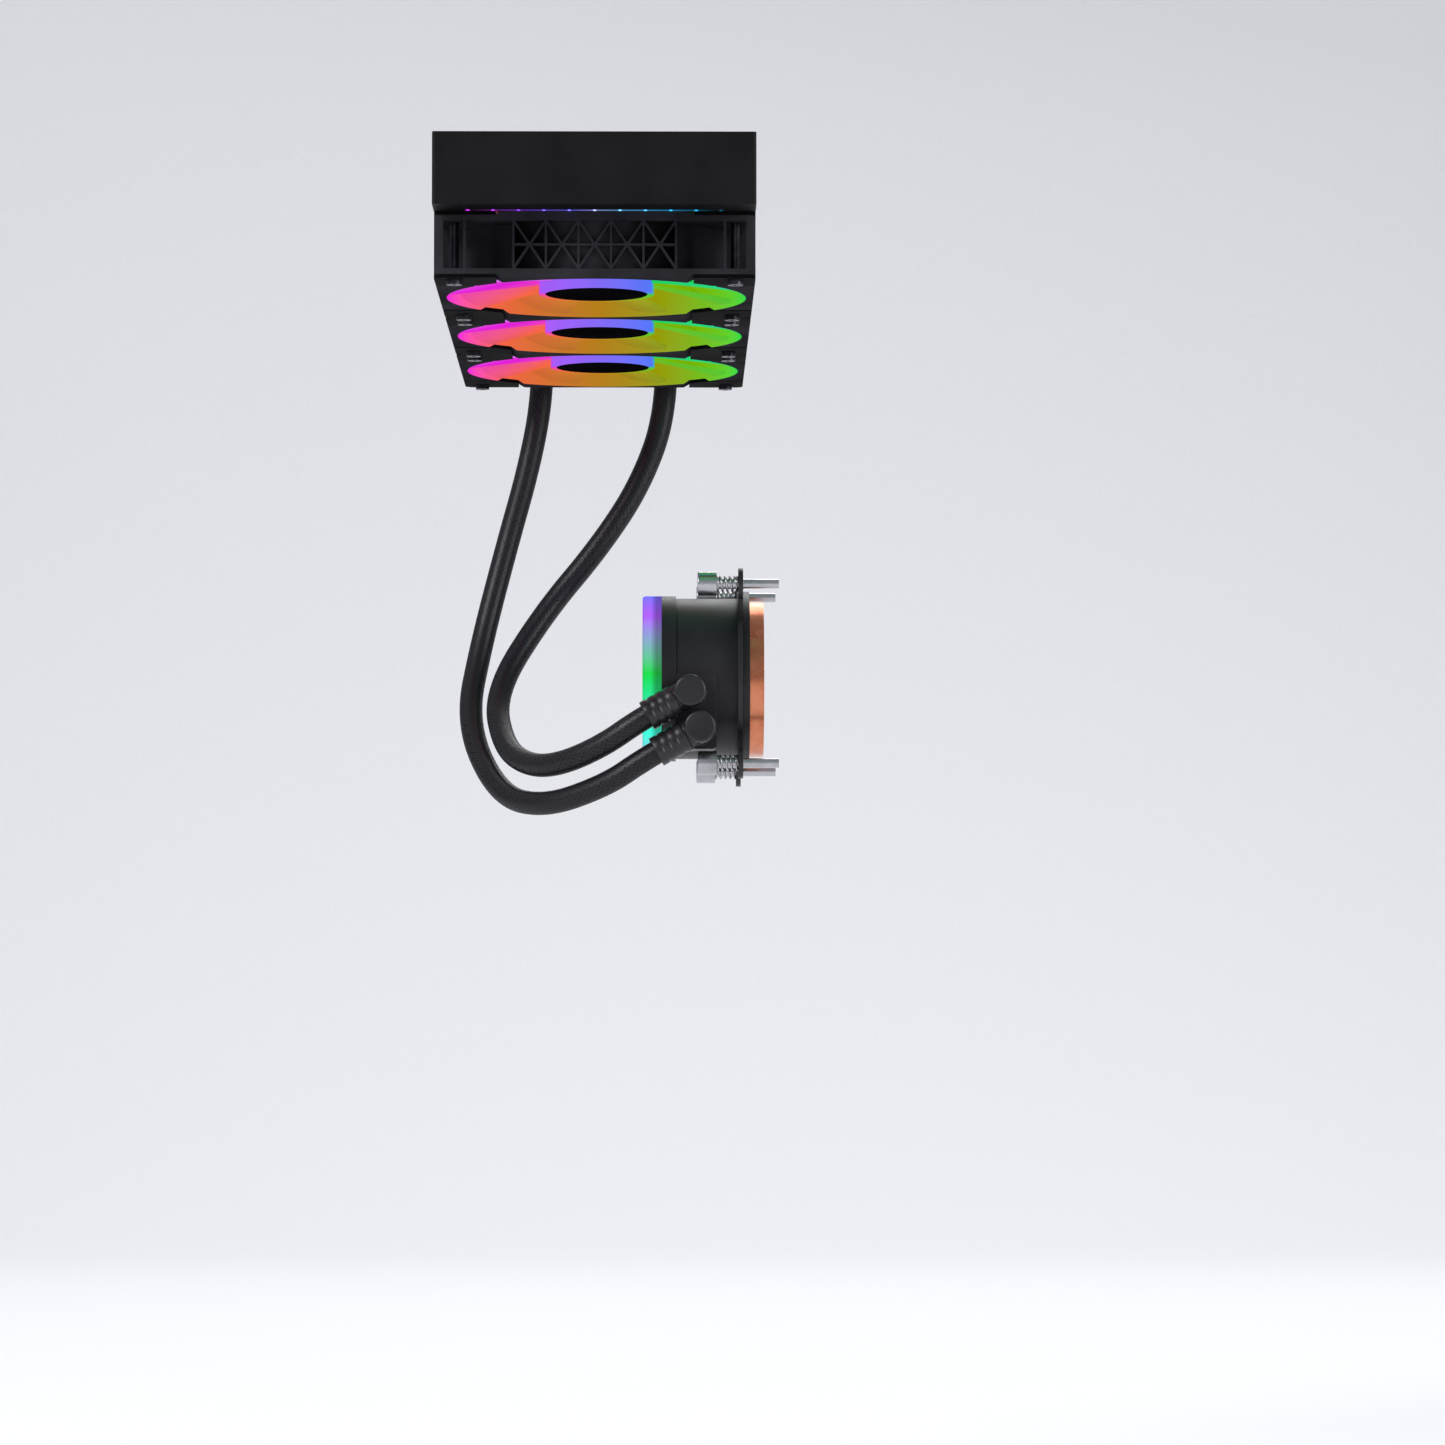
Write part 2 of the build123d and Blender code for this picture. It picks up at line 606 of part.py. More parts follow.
def hub_cap(y, name):
    """The glossy disc let into the hub's face."""
    with BuildPart() as cap:
        with BuildSketch(Plane((0, y, HUB_FACE))):
            Circle(CAP_R)
        extrude(amount=CAP_THICK)
        fillet(cap.faces().sort_by(Axis.Z)[0].edges(), radius=CAP_EDGE_R)
    keep(cap, name)


def magnet_ring(y, name):
    """Ring magnet seated inside the hub cup."""
    with BuildPart() as magnet:
        with BuildSketch(Plane((0, y, HUB_FACE + HUB_FACE_THICK))):
            Circle(MAGNET_R)
            Circle(MAGNET_R - MAGNET_THICK, mode=Mode.SUBTRACT)
        extrude(amount=MAGNET_LENGTH)
    keep(magnet, name)


def fan_shaft(y, name):
    """Steel shaft, fixed in the hub and turning in the sleeve bearing."""
    with BuildPart() as shaft:
        with BuildSketch(Plane((0, y, HUB_FACE + CAP_THICK))):
            Circle(SHAFT_R)
        extrude(amount=PLATE_BOTTOM - SEAT_GAP - HUB_FACE - CAP_THICK)
    keep(shaft, name)


def fan_bearing(y, name):
    """Sleeve bearing pressed into the frame's centre tube."""
    with BuildPart() as bearing:
        with BuildSketch(Plane((0, y, BEARING_BOTTOM))):
            Circle(BEARING_R)
            Circle(SHAFT_R + RUNNING_GAP, mode=Mode.SUBTRACT)
        extrude(amount=BEARING_LENGTH)
    keep(bearing, name)


def fan_stator(y, name):
    """Laminated core with its wound poles, on the bearing tube."""
    seat = BEARING_R + SEAT_GAP + BEARING_TUBE_WALL
    base = BEARING_BOTTOM + COIL_MARGIN
    with BuildPart() as stator:
        with BuildSketch(Plane((0, y, base))):
            Circle(seat + POLE_WIDTH / 2)
            with PolarLocations(STATOR_R / 2, POLE_COUNT):
                Rectangle(STATOR_R, POLE_WIDTH)
            Circle(seat + SEAT_GAP, mode=Mode.SUBTRACT)
        extrude(amount=STATOR_LENGTH)
        with BuildSketch(Plane((0, y, base + COIL_MARGIN))):
            with PolarLocations((seat + STATOR_R) / 2 + COIL_OFF, POLE_COUNT):
                Rectangle(POLE_WIDTH, COIL_WIDTH)
        extrude(amount=STATOR_LENGTH - 2 * COIL_MARGIN)
    keep(stator, name)


def fan_board(y, name):
    """Drive and lighting board under the motor plate."""
    seat = BEARING_R + SEAT_GAP + BEARING_TUBE_WALL + SEAT_GAP
    with BuildPart() as board:
        with BuildSketch(Plane((0, y, PLATE_BOTTOM - FAN_BOARD_THICK))):
            Circle(FAN_BOARD_R)
            Circle(seat, mode=Mode.SUBTRACT)
        extrude(amount=FAN_BOARD_THICK)
    keep(board, name)


for fan_y, fan_name in zip(FAN_Y, FAN_NAMES):
    fan_frame(fan_y, f"{fan_name}_frame")
    corner_pads(fan_y, f"{fan_name}_corner_pads")
    fan_rotor(fan_y, f"{fan_name}_rotor")
    hub_cap(fan_y, f"{fan_name}_hub_cap")
    magnet_ring(fan_y, f"{fan_name}_magnet_ring")
    fan_shaft(fan_y, f"{fan_name}_shaft")
    fan_bearing(fan_y, f"{fan_name}_bearing")
    fan_stator(fan_y, f"{fan_name}_stator")
    fan_board(fan_y, f"{fan_name}_circuit_board")

# Long screws run through each fan into the threaded flanges of the side channels.
SCREW_SPOTS = [
    (sx * SCREW_HALF, y + sy * SCREW_HALF) for y in FAN_Y for sx in (-1, 1) for sy in (-1, 1)
]
with BuildPart() as fan_screws:
    with BuildSketch(Plane.XY.offset(FAN_BOTTOM)):
        with Locations(*SCREW_SPOTS):
            Circle(SCREW_R)
    extrude(amount=FAN_DEPTH + SCREW_BITE)
    with BuildSketch(Plane.XY.offset(FAN_BOTTOM - SCREW_HEAD_H)):
        with Locations(*SCREW_SPOTS):
            Circle(SCREW_HEAD_R)
    extrude(amount=SCREW_HEAD_H)
    with BuildSketch(Plane.XY.offset(FAN_BOTTOM - SCREW_HEAD_H)):
        with Locations(*SCREW_SPOTS):
            Rectangle(SCREW_HEAD_R, SCREW_R / 2)
            Rectangle(SCREW_R / 2, SCREW_HEAD_R)
    extrude(amount=SCREW_HEAD_H / 2, mode=Mode.SUBTRACT)
keep(fan_screws, "fan_screws")

# ---------------------------------------------------------------------- pump head
with BuildPart() as light_ring:
    with BuildSketch(across(PUMP_FACE_X)):
        Circle(PUMP_R)
        Circle(PUMP_R - LIGHT_RING_WALL, mode=Mode.SUBTRACT)
    extrude(amount=LIGHT_RING_LENGTH)
    fillet(light_ring.faces().sort_by(Axis.X)[0].edges(), radius=LIGHT_RING_EDGE_R)
keep(light_ring, "pump_light_ring")

SPIGOT_R = PUMP_R - LIGHT_RING_WALL - CAP_GAP
with BuildPart() as pump_cap:
    with BuildSketch(across(PUMP_FACE_X)):
        Circle(SPIGOT_R)
    extrude(amount=PUMP_CAP_THICK)
    fillet(pump_cap.faces().sort_by(Axis.X)[0].edges(), radius=PUMP_CAP_EDGE_R)
keep(pump_cap, "pump_cap")

with BuildPart() as pump_shell:
    with BuildSketch(across(PUMP_FACE_X + PUMP_CAP_THICK)):
        Circle(SPIGOT_R)
    extrude(amount=RING_BACK_X - PUMP_FACE_X - PUMP_CAP_THICK)
    with BuildSketch(across(RING_BACK_X)):
        Circle(PUMP_R)
    extrude(amount=SHELL_LENGTH)
    with BuildSketch(across(PUMP_FACE_X + PUMP_CAP_THICK)):
        Circle(SPIGOT_R - SHELL_WALL)
    extrude(amount=HOUSING_X - PUMP_FACE_X - PUMP_CAP_THICK, mode=Mode.SUBTRACT)
keep(pump_shell, "pump_shell")

BOARD_X = HOUSING_X - SHELL_WALL - BOARD_THICK
with BuildPart() as pump_board:
    with BuildSketch(across(BOARD_X)):
        Circle(SPIGOT_R - SHELL_WALL - CAP_GAP)
    extrude(amount=BOARD_THICK)
keep(pump_board, "pump_circuit_board")

BOSS_LOW_Z = LOWER_PORT[1] - BOSS_MARGIN
BOSS_HIGH_Z = UPPER_PORT[1] + BOSS_MARGIN
BOSS_MID_X = HOUSING_X + CAP_GAP + BOSS_HALF_X
PORTS = (UPPER_PORT, LOWER_PORT)


def passage_y(port):
    """Where a port's bore meets its passage towards the cold plate."""
    return PUMP_Y - math.sqrt(PASSAGE_R**2 - (port[1] - PUMP_Z) ** 2)


def passage_spots():
    """The passages' centres on a plane square to the pump's axis."""
    return [(passage_y(port) - PUMP_Y, port[1] - PUMP_Z) for port in PORTS]


with BuildPart() as housing:
    with BuildSketch(across(HOUSING_X)):
        Circle(HOUSING_R)
    extrude(amount=HOUSING_LENGTH)
    with BuildSketch(across(PLATE_X - FLANGE_THICK)):
        Circle(FLANGE_R)
    extrude(amount=FLANGE_THICK)
    with BuildSketch(Plane.XZ.offset(-BOSS_FACE_Y)):
        with Locations((BOSS_MID_X, (BOSS_LOW_Z + BOSS_HIGH_Z) / 2)):
            RectangleRounded(2 * BOSS_HALF_X, BOSS_HIGH_Z - BOSS_LOW_Z, BOSS_EDGE_R)
    extrude(amount=-(PUMP_Y - BOSS_FACE_Y))
    with BuildSketch(across(HOUSING_X)):
        Circle(STATOR_POCKET_R)
        Circle(CAN_R + CAN_WALL, mode=Mode.SUBTRACT)
    extrude(amount=STATOR_POCKET_DEPTH, mode=Mode.SUBTRACT)
    with BuildSketch(across(HOUSING_X + CAN_END)):
        Circle(CAN_R)
    extrude(amount=VOLUTE_X - HOUSING_X - CAN_END, mode=Mode.SUBTRACT)
    with BuildSketch(across(HOUSING_X + CAN_END / 2)):
        Circle(IMPELLER_SHAFT_R + SEAT_GAP)
    extrude(amount=CAN_END, mode=Mode.SUBTRACT)
    with BuildSketch(across(VOLUTE_X)):
        Circle(VOLUTE_R)
    extrude(amount=VOLUTE_DEPTH, mode=Mode.SUBTRACT)
    with BuildSketch(across(RECESS_X)):
        Circle(RECESS_R)
    extrude(amount=CHAMBER_THICK, mode=Mode.SUBTRACT)
    with BuildSketch(across(PLATE_X)):
        with PolarLocations(PLATE_SCREW_CIRCLE_R, PLATE_SCREW_COUNT):
            Circle(PLATE_SCREW_R + THREAD_GAP)
    extrude(amount=-PLATE_SCREW_LENGTH, mode=Mode.SUBTRACT)
    for port in PORTS:
        with BuildSketch(Plane.XZ.offset(-BOSS_FACE_Y)):
            with Locations(port):
                Circle(PORT_BORE_R)
        extrude(amount=-(passage_y(port) - BOSS_FACE_Y), mode=Mode.SUBTRACT)
        with BuildSketch(across(RECESS_X)):
            with Locations((passage_y(port) - PUMP_Y, port[1] - PUMP_Z)):
                Circle(PORT_BORE_R)
        extrude(amount=-(RECESS_X - port[0]), mode=Mode.SUBTRACT)
keep(housing, "pump_housing")

with BuildPart() as pump_stator:
    with BuildSketch(across(HOUSING_X + STATOR_END_GAP)):
        Circle(STATOR_POCKET_R - CAP_GAP)
        Circle(CAN_R + CAN_WALL + CAP_GAP, mode=Mode.SUBTRACT)
        with PolarLocations(STATOR_POCKET_R, STATOR_NOTCH_COUNT, STATOR_NOTCH_TURN):
            Circle(STATOR_NOTCH_R, mode=Mode.SUBTRACT)
    extrude(amount=STATOR_POCKET_DEPTH - 2 * STATOR_END_GAP)
keep(pump_stator, "pump_stator")

MAGNET_X = HOUSING_X + CAN_END + IMPELLER_GAP
DISC_X = VOLUTE_X + DISC_GAP
with BuildPart() as impeller:
    with BuildSketch(across(MAGNET_X)):
        Circle(CAN_R - IMPELLER_GAP)
    extrude(amount=DISC_X - MAGNET_X)
    with BuildSketch(across(DISC_X)):
        Circle(IMPELLER_R)
    extrude(amount=IMPELLER_DISC)
    with BuildSketch(across(DISC_X + IMPELLER_DISC)):
        Circle(2 * IMPELLER_SHAFT_R)
        with PolarLocations(IMPELLER_R / 2, VANE_COUNT):
            Rectangle(IMPELLER_R - VANE_THICK, VANE_THICK, rotation=VANE_TURN)
    extrude(amount=VANE_HEIGHT)
    with BuildSketch(across(MAGNET_X)):
        Circle(IMPELLER_SHAFT_R + RUNNING_GAP)
    extrude(amount=PLATE_X - MAGNET_X, mode=Mode.SUBTRACT)
keep(impeller, "pump_impeller")

with BuildPart() as pump_shaft:
    with BuildSketch(across(HOUSING_X + CAN_END / 2)):
        Circle(IMPELLER_SHAFT_R)
    extrude(amount=RECESS_X + CHAMBER_THICK / 2 - HOUSING_X - CAN_END / 2)
keep(pump_shaft, "pump_shaft")

with BuildPart() as chamber_plate:
    with BuildSketch(across(RECESS_X)):
        Circle(CHAMBER_R)
        with Locations(*passage_spots()):
            Circle(PORT_BORE_R, mode=Mode.SUBTRACT)
    extrude(amount=CHAMBER_THICK)
    with BuildSketch(across(RECESS_X)):
        Circle(IMPELLER_SHAFT_R + SEAT_GAP)
    extrude(amount=CHAMBER_THICK / 2, mode=Mode.SUBTRACT)
    with BuildSketch(across(RECESS_X)):
        with PolarLocations(INLET_CIRCLE_R, INLET_COUNT):
            Circle(INLET_R)
    extrude(amount=CHAMBER_THICK, mode=Mode.SUBTRACT)
keep(chamber_plate, "pump_chamber_plate")

with BuildPart() as seal_ring:
    with BuildSketch(across(RECESS_X)):
        Circle(RECESS_R - CAP_GAP)
        Circle(RECESS_R - CAP_GAP - SEAL_WIDTH, mode=Mode.SUBTRACT)
    extrude(amount=CHAMBER_THICK)
keep(seal_ring, "pump_seal_ring")

FIN_SLOTS = int(2 * COLD_PLATE_FIN_HALF / COLD_PLATE_FIN_PITCH)
with BuildPart() as cold_plate:
    with BuildSketch(across(PLATE_X)):
        Circle(COLD_PLATE_R)
        with PolarLocations(PLATE_SCREW_CIRCLE_R, PLATE_SCREW_COUNT):
            Circle(PLATE_SCREW_R + THREAD_GAP, mode=Mode.SUBTRACT)
    extrude(amount=COLD_PLATE_THICK)
    with BuildSketch(across(PLATE_X)):
        with GridLocations(COLD_PLATE_FIN_PITCH, 0, FIN_SLOTS, 1):
            Rectangle(COLD_PLATE_FIN_SLOT, 2 * COLD_PLATE_FIN_HALF)
    extrude(amount=COLD_PLATE_FIN_DEPTH, mode=Mode.SUBTRACT)
    with BuildSketch(across(COLD_FACE_X)):
        with PolarLocations(PLATE_SCREW_CIRCLE_R, PLATE_SCREW_COUNT):
            Circle(PLATE_SCREW_HEAD_R + CAP_GAP)
    extrude(amount=-PLATE_SCREW_HEAD_H - CAP_GAP, mode=Mode.SUBTRACT)
keep(cold_plate, "cold_plate")

HEAD_SEAT_X = COLD_FACE_X - PLATE_SCREW_HEAD_H - CAP_GAP
with BuildPart() as plate_screws:
    with BuildSketch(across(HEAD_SEAT_X)):
        with PolarLocations(PLATE_SCREW_CIRCLE_R, PLATE_SCREW_COUNT):
            Circle(PLATE_SCREW_R)
    extrude(amount=-(HEAD_SEAT_X - PLATE_X + PLATE_SCREW_LENGTH - CAP_GAP))
    with BuildSketch(across(HEAD_SEAT_X)):
        with PolarLocations(PLATE_SCREW_CIRCLE_R, PLATE_SCREW_COUNT):
            Circle(PLATE_SCREW_HEAD_R)
    extrude(amount=PLATE_SCREW_HEAD_H)
keep(plate_screws, "cold_plate_screws")

# ---------------------------------------------------------------- pump's mounting
BRACKET_INNER_R = HOUSING_R + BRACKET_GAP
BRACKET_REACH = BRACKET_SPACING * math.sqrt(2) / 2
with BuildPart() as bracket:
    with BuildSketch(across(BRACKET_X)):
        Circle(BRACKET_INNER_R + BRACKET_RING_WIDTH)
        with PolarLocations(BRACKET_REACH / 2, BRACKET_ARM_COUNT, BRACKET_ARM_TURN):
            Rectangle(BRACKET_REACH, BRACKET_ARM_WIDTH)
        with GridLocations(BRACKET_SPACING, BRACKET_SPACING, 2, 2):
            Circle(BRACKET_EYE_R)
        Circle(BRACKET_INNER_R, mode=Mode.SUBTRACT)
        with GridLocations(BRACKET_SPACING, BRACKET_SPACING, 2, 2):
            Circle(STUD_SHOULDER_R + BRACKET_HOLE_GAP, mode=Mode.SUBTRACT)
    extrude(amount=BRACKET_THICK)
keep(bracket, "mounting_bracket")

NUT_X = BRACKET_X - SPRING_LENGTH - NUT_LENGTH
SHOULDER_END_X = BRACKET_X + BRACKET_THICK + BRACKET_GAP
with BuildPart() as mounting_screws:
    with BuildSketch(across(NUT_X)):
        with GridLocations(BRACKET_SPACING, BRACKET_SPACING, 2, 2):
            Circle(NUT_R)
    extrude(amount=NUT_LENGTH)
    fillet(mounting_screws.faces().group_by(Axis.X)[0].edges(), radius=NUT_EDGE_R)
    with BuildSketch(across(NUT_X)):
        with GridLocations(BRACKET_SPACING, BRACKET_SPACING, 2, 2):
            Circle(STUD_SHOULDER_R)
    extrude(amount=SHOULDER_END_X - NUT_X)
    with BuildSketch(across(NUT_X)):
        with GridLocations(BRACKET_SPACING, BRACKET_SPACING, 2, 2):
            Circle(STUD_R)
    extrude(amount=COLD_FACE_X + STUD_REACH - NUT_X)
    with BuildSketch(across(NUT_X)):
        with GridLocations(BRACKET_SPACING, BRACKET_SPACING, 2, 2):
            Rectangle(NUT_R, NUT_SLOT)
            Rectangle(NUT_SLOT, NUT_R)
    extrude(amount=NUT_SLOT, mode=Mode.SUBTRACT)
keep(mounting_screws, "mounting_screws")

with BuildPart() as mounting_springs:
    with BuildSketch(across(BRACKET_X - SPRING_LENGTH)):
        with GridLocations(BRACKET_SPACING, BRACKET_SPACING, 2, 2):
            Circle(SPRING_OUTER_R)
            Circle(SPRING_OUTER_R - SPRING_WIRE, mode=Mode.SUBTRACT)
    extrude(amount=SPRING_LENGTH)
keep(mounting_springs, "mounting_springs")


# ------------------------------------------------------------------ swivel elbows
def swivel_elbow(port, name):
    """An elbow on the port boss whose outlet arm points down and away to the left."""
    corner = Vector(port[0], ELBOW_Y, port[1])
    arm = Plane(origin=corner, z_dir=ARM_DIRECTION)
    stem = BOSS_FACE_Y - WASHER_THICK - ELBOW_Y
    with BuildPart() as elbow:
        with BuildSketch(Plane(origin=corner - Vector(0, KNUCKLE_REACH, 0), z_dir=(0, 1, 0))):
            Circle(KNUCKLE_R)
        extrude(amount=KNUCKLE_REACH + stem)
        fillet(elbow.faces().sort_by(Axis.Y)[0].edges(), radius=KNUCKLE_EDGE_R)
        with BuildSketch(Plane(origin=corner + Vector(0, stem, 0), z_dir=(0, 1, 0))):
            Circle(ELBOW_RING_R)
        extrude(amount=-ELBOW_RING_LENGTH)
        with BuildSketch(arm):
            Circle(ELBOW_R)
        extrude(amount=ELBOW_ARM - COLLAR_ON_FITTING - CAP_GAP)
        with BuildSketch(arm):
            Circle(HOSE_R)
        extrude(amount=ELBOW_ARM)
        with BuildSketch(arm):
            Circle(PORT_BORE_R)
        extrude(amount=ELBOW_ARM, mode=Mode.SUBTRACT)
        with BuildSketch(Plane(origin=corner - Vector(0, ELBOW_BORE_REACH, 0), z_dir=(0, 1, 0))):
            Circle(ELBOW_BORE_R)
        extrude(amount=ELBOW_BORE_REACH + stem, mode=Mode.SUBTRACT)
    keep(elbow, name)


swivel_elbow(UPPER_PORT, "swivel_elbow_upper")
swivel_elbow(LOWER_PORT, "swivel_elbow_lower")

# Soft washers: one under each elbow and one under the fill plug's head.
with BuildPart() as seal_washers:
    with BuildSketch(Plane.XZ.offset(-(BOSS_FACE_Y - WASHER_THICK))):
        with Locations(*PORTS):
            Circle(WASHER_R)
            Circle(PORT_BORE_R, mode=Mode.SUBTRACT)
    extrude(amount=-WASHER_THICK)
    with BuildSketch(Plane.XZ.offset(-TANK_OUT)):
        with Locations((PLUG_AT_X, RAD_MID_Z)):
            Circle(PLUG_HEAD_R)
            Circle(PLUG_R + SEAT_GAP, mode=Mode.SUBTRACT)
    extrude(amount=-WASHER_THICK)
keep(seal_washers, "seal_washers")

# ------------------------------------------------- collars crimped on the hose ends
COLLAR_START = ELBOW_ARM - COLLAR_ON_FITTING
COLLAR_PLANES = [
    Plane(origin=on_arm(port, COLLAR_START), z_dir=ARM_DIRECTION) for port in PORTS
]
for fitting_side in (-1, 1):
    top = (fitting_side * FITTING_SPREAD, FITTING_Y, FITTING_END + COLLAR_ON_FITTING)
    COLLAR_PLANES.append(Plane(origin=top, z_dir=(0, 0, -1)))
with BuildPart() as collars:
    for plane in COLLAR_PLANES:
        with BuildSketch(plane):
            Circle(COLLAR_R)
            Circle(HOSE_R + COLLAR_GAP, mode=Mode.SUBTRACT)
        extrude(amount=COLLAR_LENGTH)
keep(collars, "hose_collars")

# --------------------------------------------------------------------- the hoses
# Each route starts at a tank fitting and ends on an elbow's arm; the points between
# are chosen by hand so that the hose hangs, swings forward and rises to the pump.
LEFT_ROUTE = [
    (-32.5, 190, -85), (-42.5, 190, -121), (-53, 184, -163), (-59, 160, -199.5),
    (-44, 127.5, -231.5), (-24, 102.5, -237.5), (2, 87, -229),
]
RIGHT_ROUTE = [
    (16, 190, -93), (-2, 186, -121), (-26, 183, -150), (-47, 163, -186),
    (-42, 136.5, -211), (-30, 112.5, -220), (-16, 96.5, -219.5), (1.5, 86, -212),
]
ARC_SHARE = 0.45


def hose(side, first_run, points, port, last_run, name):
    """Sweeps a round hose along straight runs joined by arcs, and prints its radii."""
    top = Vector(side * FITTING_SPREAD, FITTING_Y, FITTING_END)
    route = [top, top - Vector(0, 0, first_run)]
    route += [Vector(*p) for p in points]
    route += [on_arm(port, ELBOW_ARM + last_run), on_arm(port, ELBOW_ARM)]
    radii = []
    for before, here, after in zip(route, route[1:], route[2:]):
        run_in, run_out = here - before, after - here
        turn = math.radians(run_in.get_angle(run_out))
        radii.append(ARC_SHARE * min(run_in.length, run_out.length) / math.tan(turn / 2))
    with BuildPart() as tube:
        with BuildLine() as path:
            FilletPolyline(*route, radius=radii)
        with BuildSketch(Plane(origin=top, z_dir=(0, 0, -1))):
            Circle(HOSE_R)
        sweep(path=path.wires()[0])
    length = path.wires()[0].length
    share = tube.part.volume / (math.pi * HOSE_R**2 * length)
    print(name, "length", round(length, 1), "volume share", round(share, 4))
    print("  radii", [round(r, 1) for r in radii])
    keep(tube, name)


hose(-1, 16, LEFT_ROUTE, LOWER_PORT, 14, "hose_left")
hose(1, 23, RIGHT_ROUTE, UPPER_PORT, 13, "hose_right")
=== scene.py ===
import json
import logging
import math
from dataclasses import dataclass, field
from enum import Enum

import bmesh
import bpy
import numpy as np
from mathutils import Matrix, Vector


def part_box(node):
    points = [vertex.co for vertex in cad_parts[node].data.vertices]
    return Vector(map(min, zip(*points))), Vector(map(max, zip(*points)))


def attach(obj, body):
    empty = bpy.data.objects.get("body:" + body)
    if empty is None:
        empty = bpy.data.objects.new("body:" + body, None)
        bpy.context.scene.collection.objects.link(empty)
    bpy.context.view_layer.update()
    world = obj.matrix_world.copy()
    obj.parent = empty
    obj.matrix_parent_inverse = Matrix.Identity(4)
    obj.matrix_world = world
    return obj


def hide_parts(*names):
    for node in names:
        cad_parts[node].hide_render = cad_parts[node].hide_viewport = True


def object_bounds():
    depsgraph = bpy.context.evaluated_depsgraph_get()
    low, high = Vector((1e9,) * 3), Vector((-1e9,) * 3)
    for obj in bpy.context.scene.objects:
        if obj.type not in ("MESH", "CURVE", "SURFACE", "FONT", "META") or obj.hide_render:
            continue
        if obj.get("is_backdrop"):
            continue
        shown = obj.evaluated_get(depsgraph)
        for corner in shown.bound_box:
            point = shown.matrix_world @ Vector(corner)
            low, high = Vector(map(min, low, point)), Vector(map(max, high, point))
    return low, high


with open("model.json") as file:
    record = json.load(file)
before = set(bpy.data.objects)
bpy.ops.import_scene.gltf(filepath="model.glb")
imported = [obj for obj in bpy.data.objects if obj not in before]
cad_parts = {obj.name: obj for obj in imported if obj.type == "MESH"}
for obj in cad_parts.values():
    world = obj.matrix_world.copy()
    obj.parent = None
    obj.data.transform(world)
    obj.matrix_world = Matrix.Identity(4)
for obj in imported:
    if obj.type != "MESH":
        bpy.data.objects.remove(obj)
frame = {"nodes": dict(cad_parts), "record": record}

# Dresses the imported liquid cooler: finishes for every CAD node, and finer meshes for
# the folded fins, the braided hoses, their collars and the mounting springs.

LOG = logging.getLogger("cooler")
MM = 0.001
ROOT_BODY = "cooler"
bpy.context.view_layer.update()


class Side(Enum):
    """Which of the two hoses, named by the tank fitting that it leaves."""

    LEFT = "left"
    RIGHT = "right"


class Light(Enum):
    """What a lit piece is, which settles how its colours run."""

    BLADES = "blades"
    PUMP = "pump"


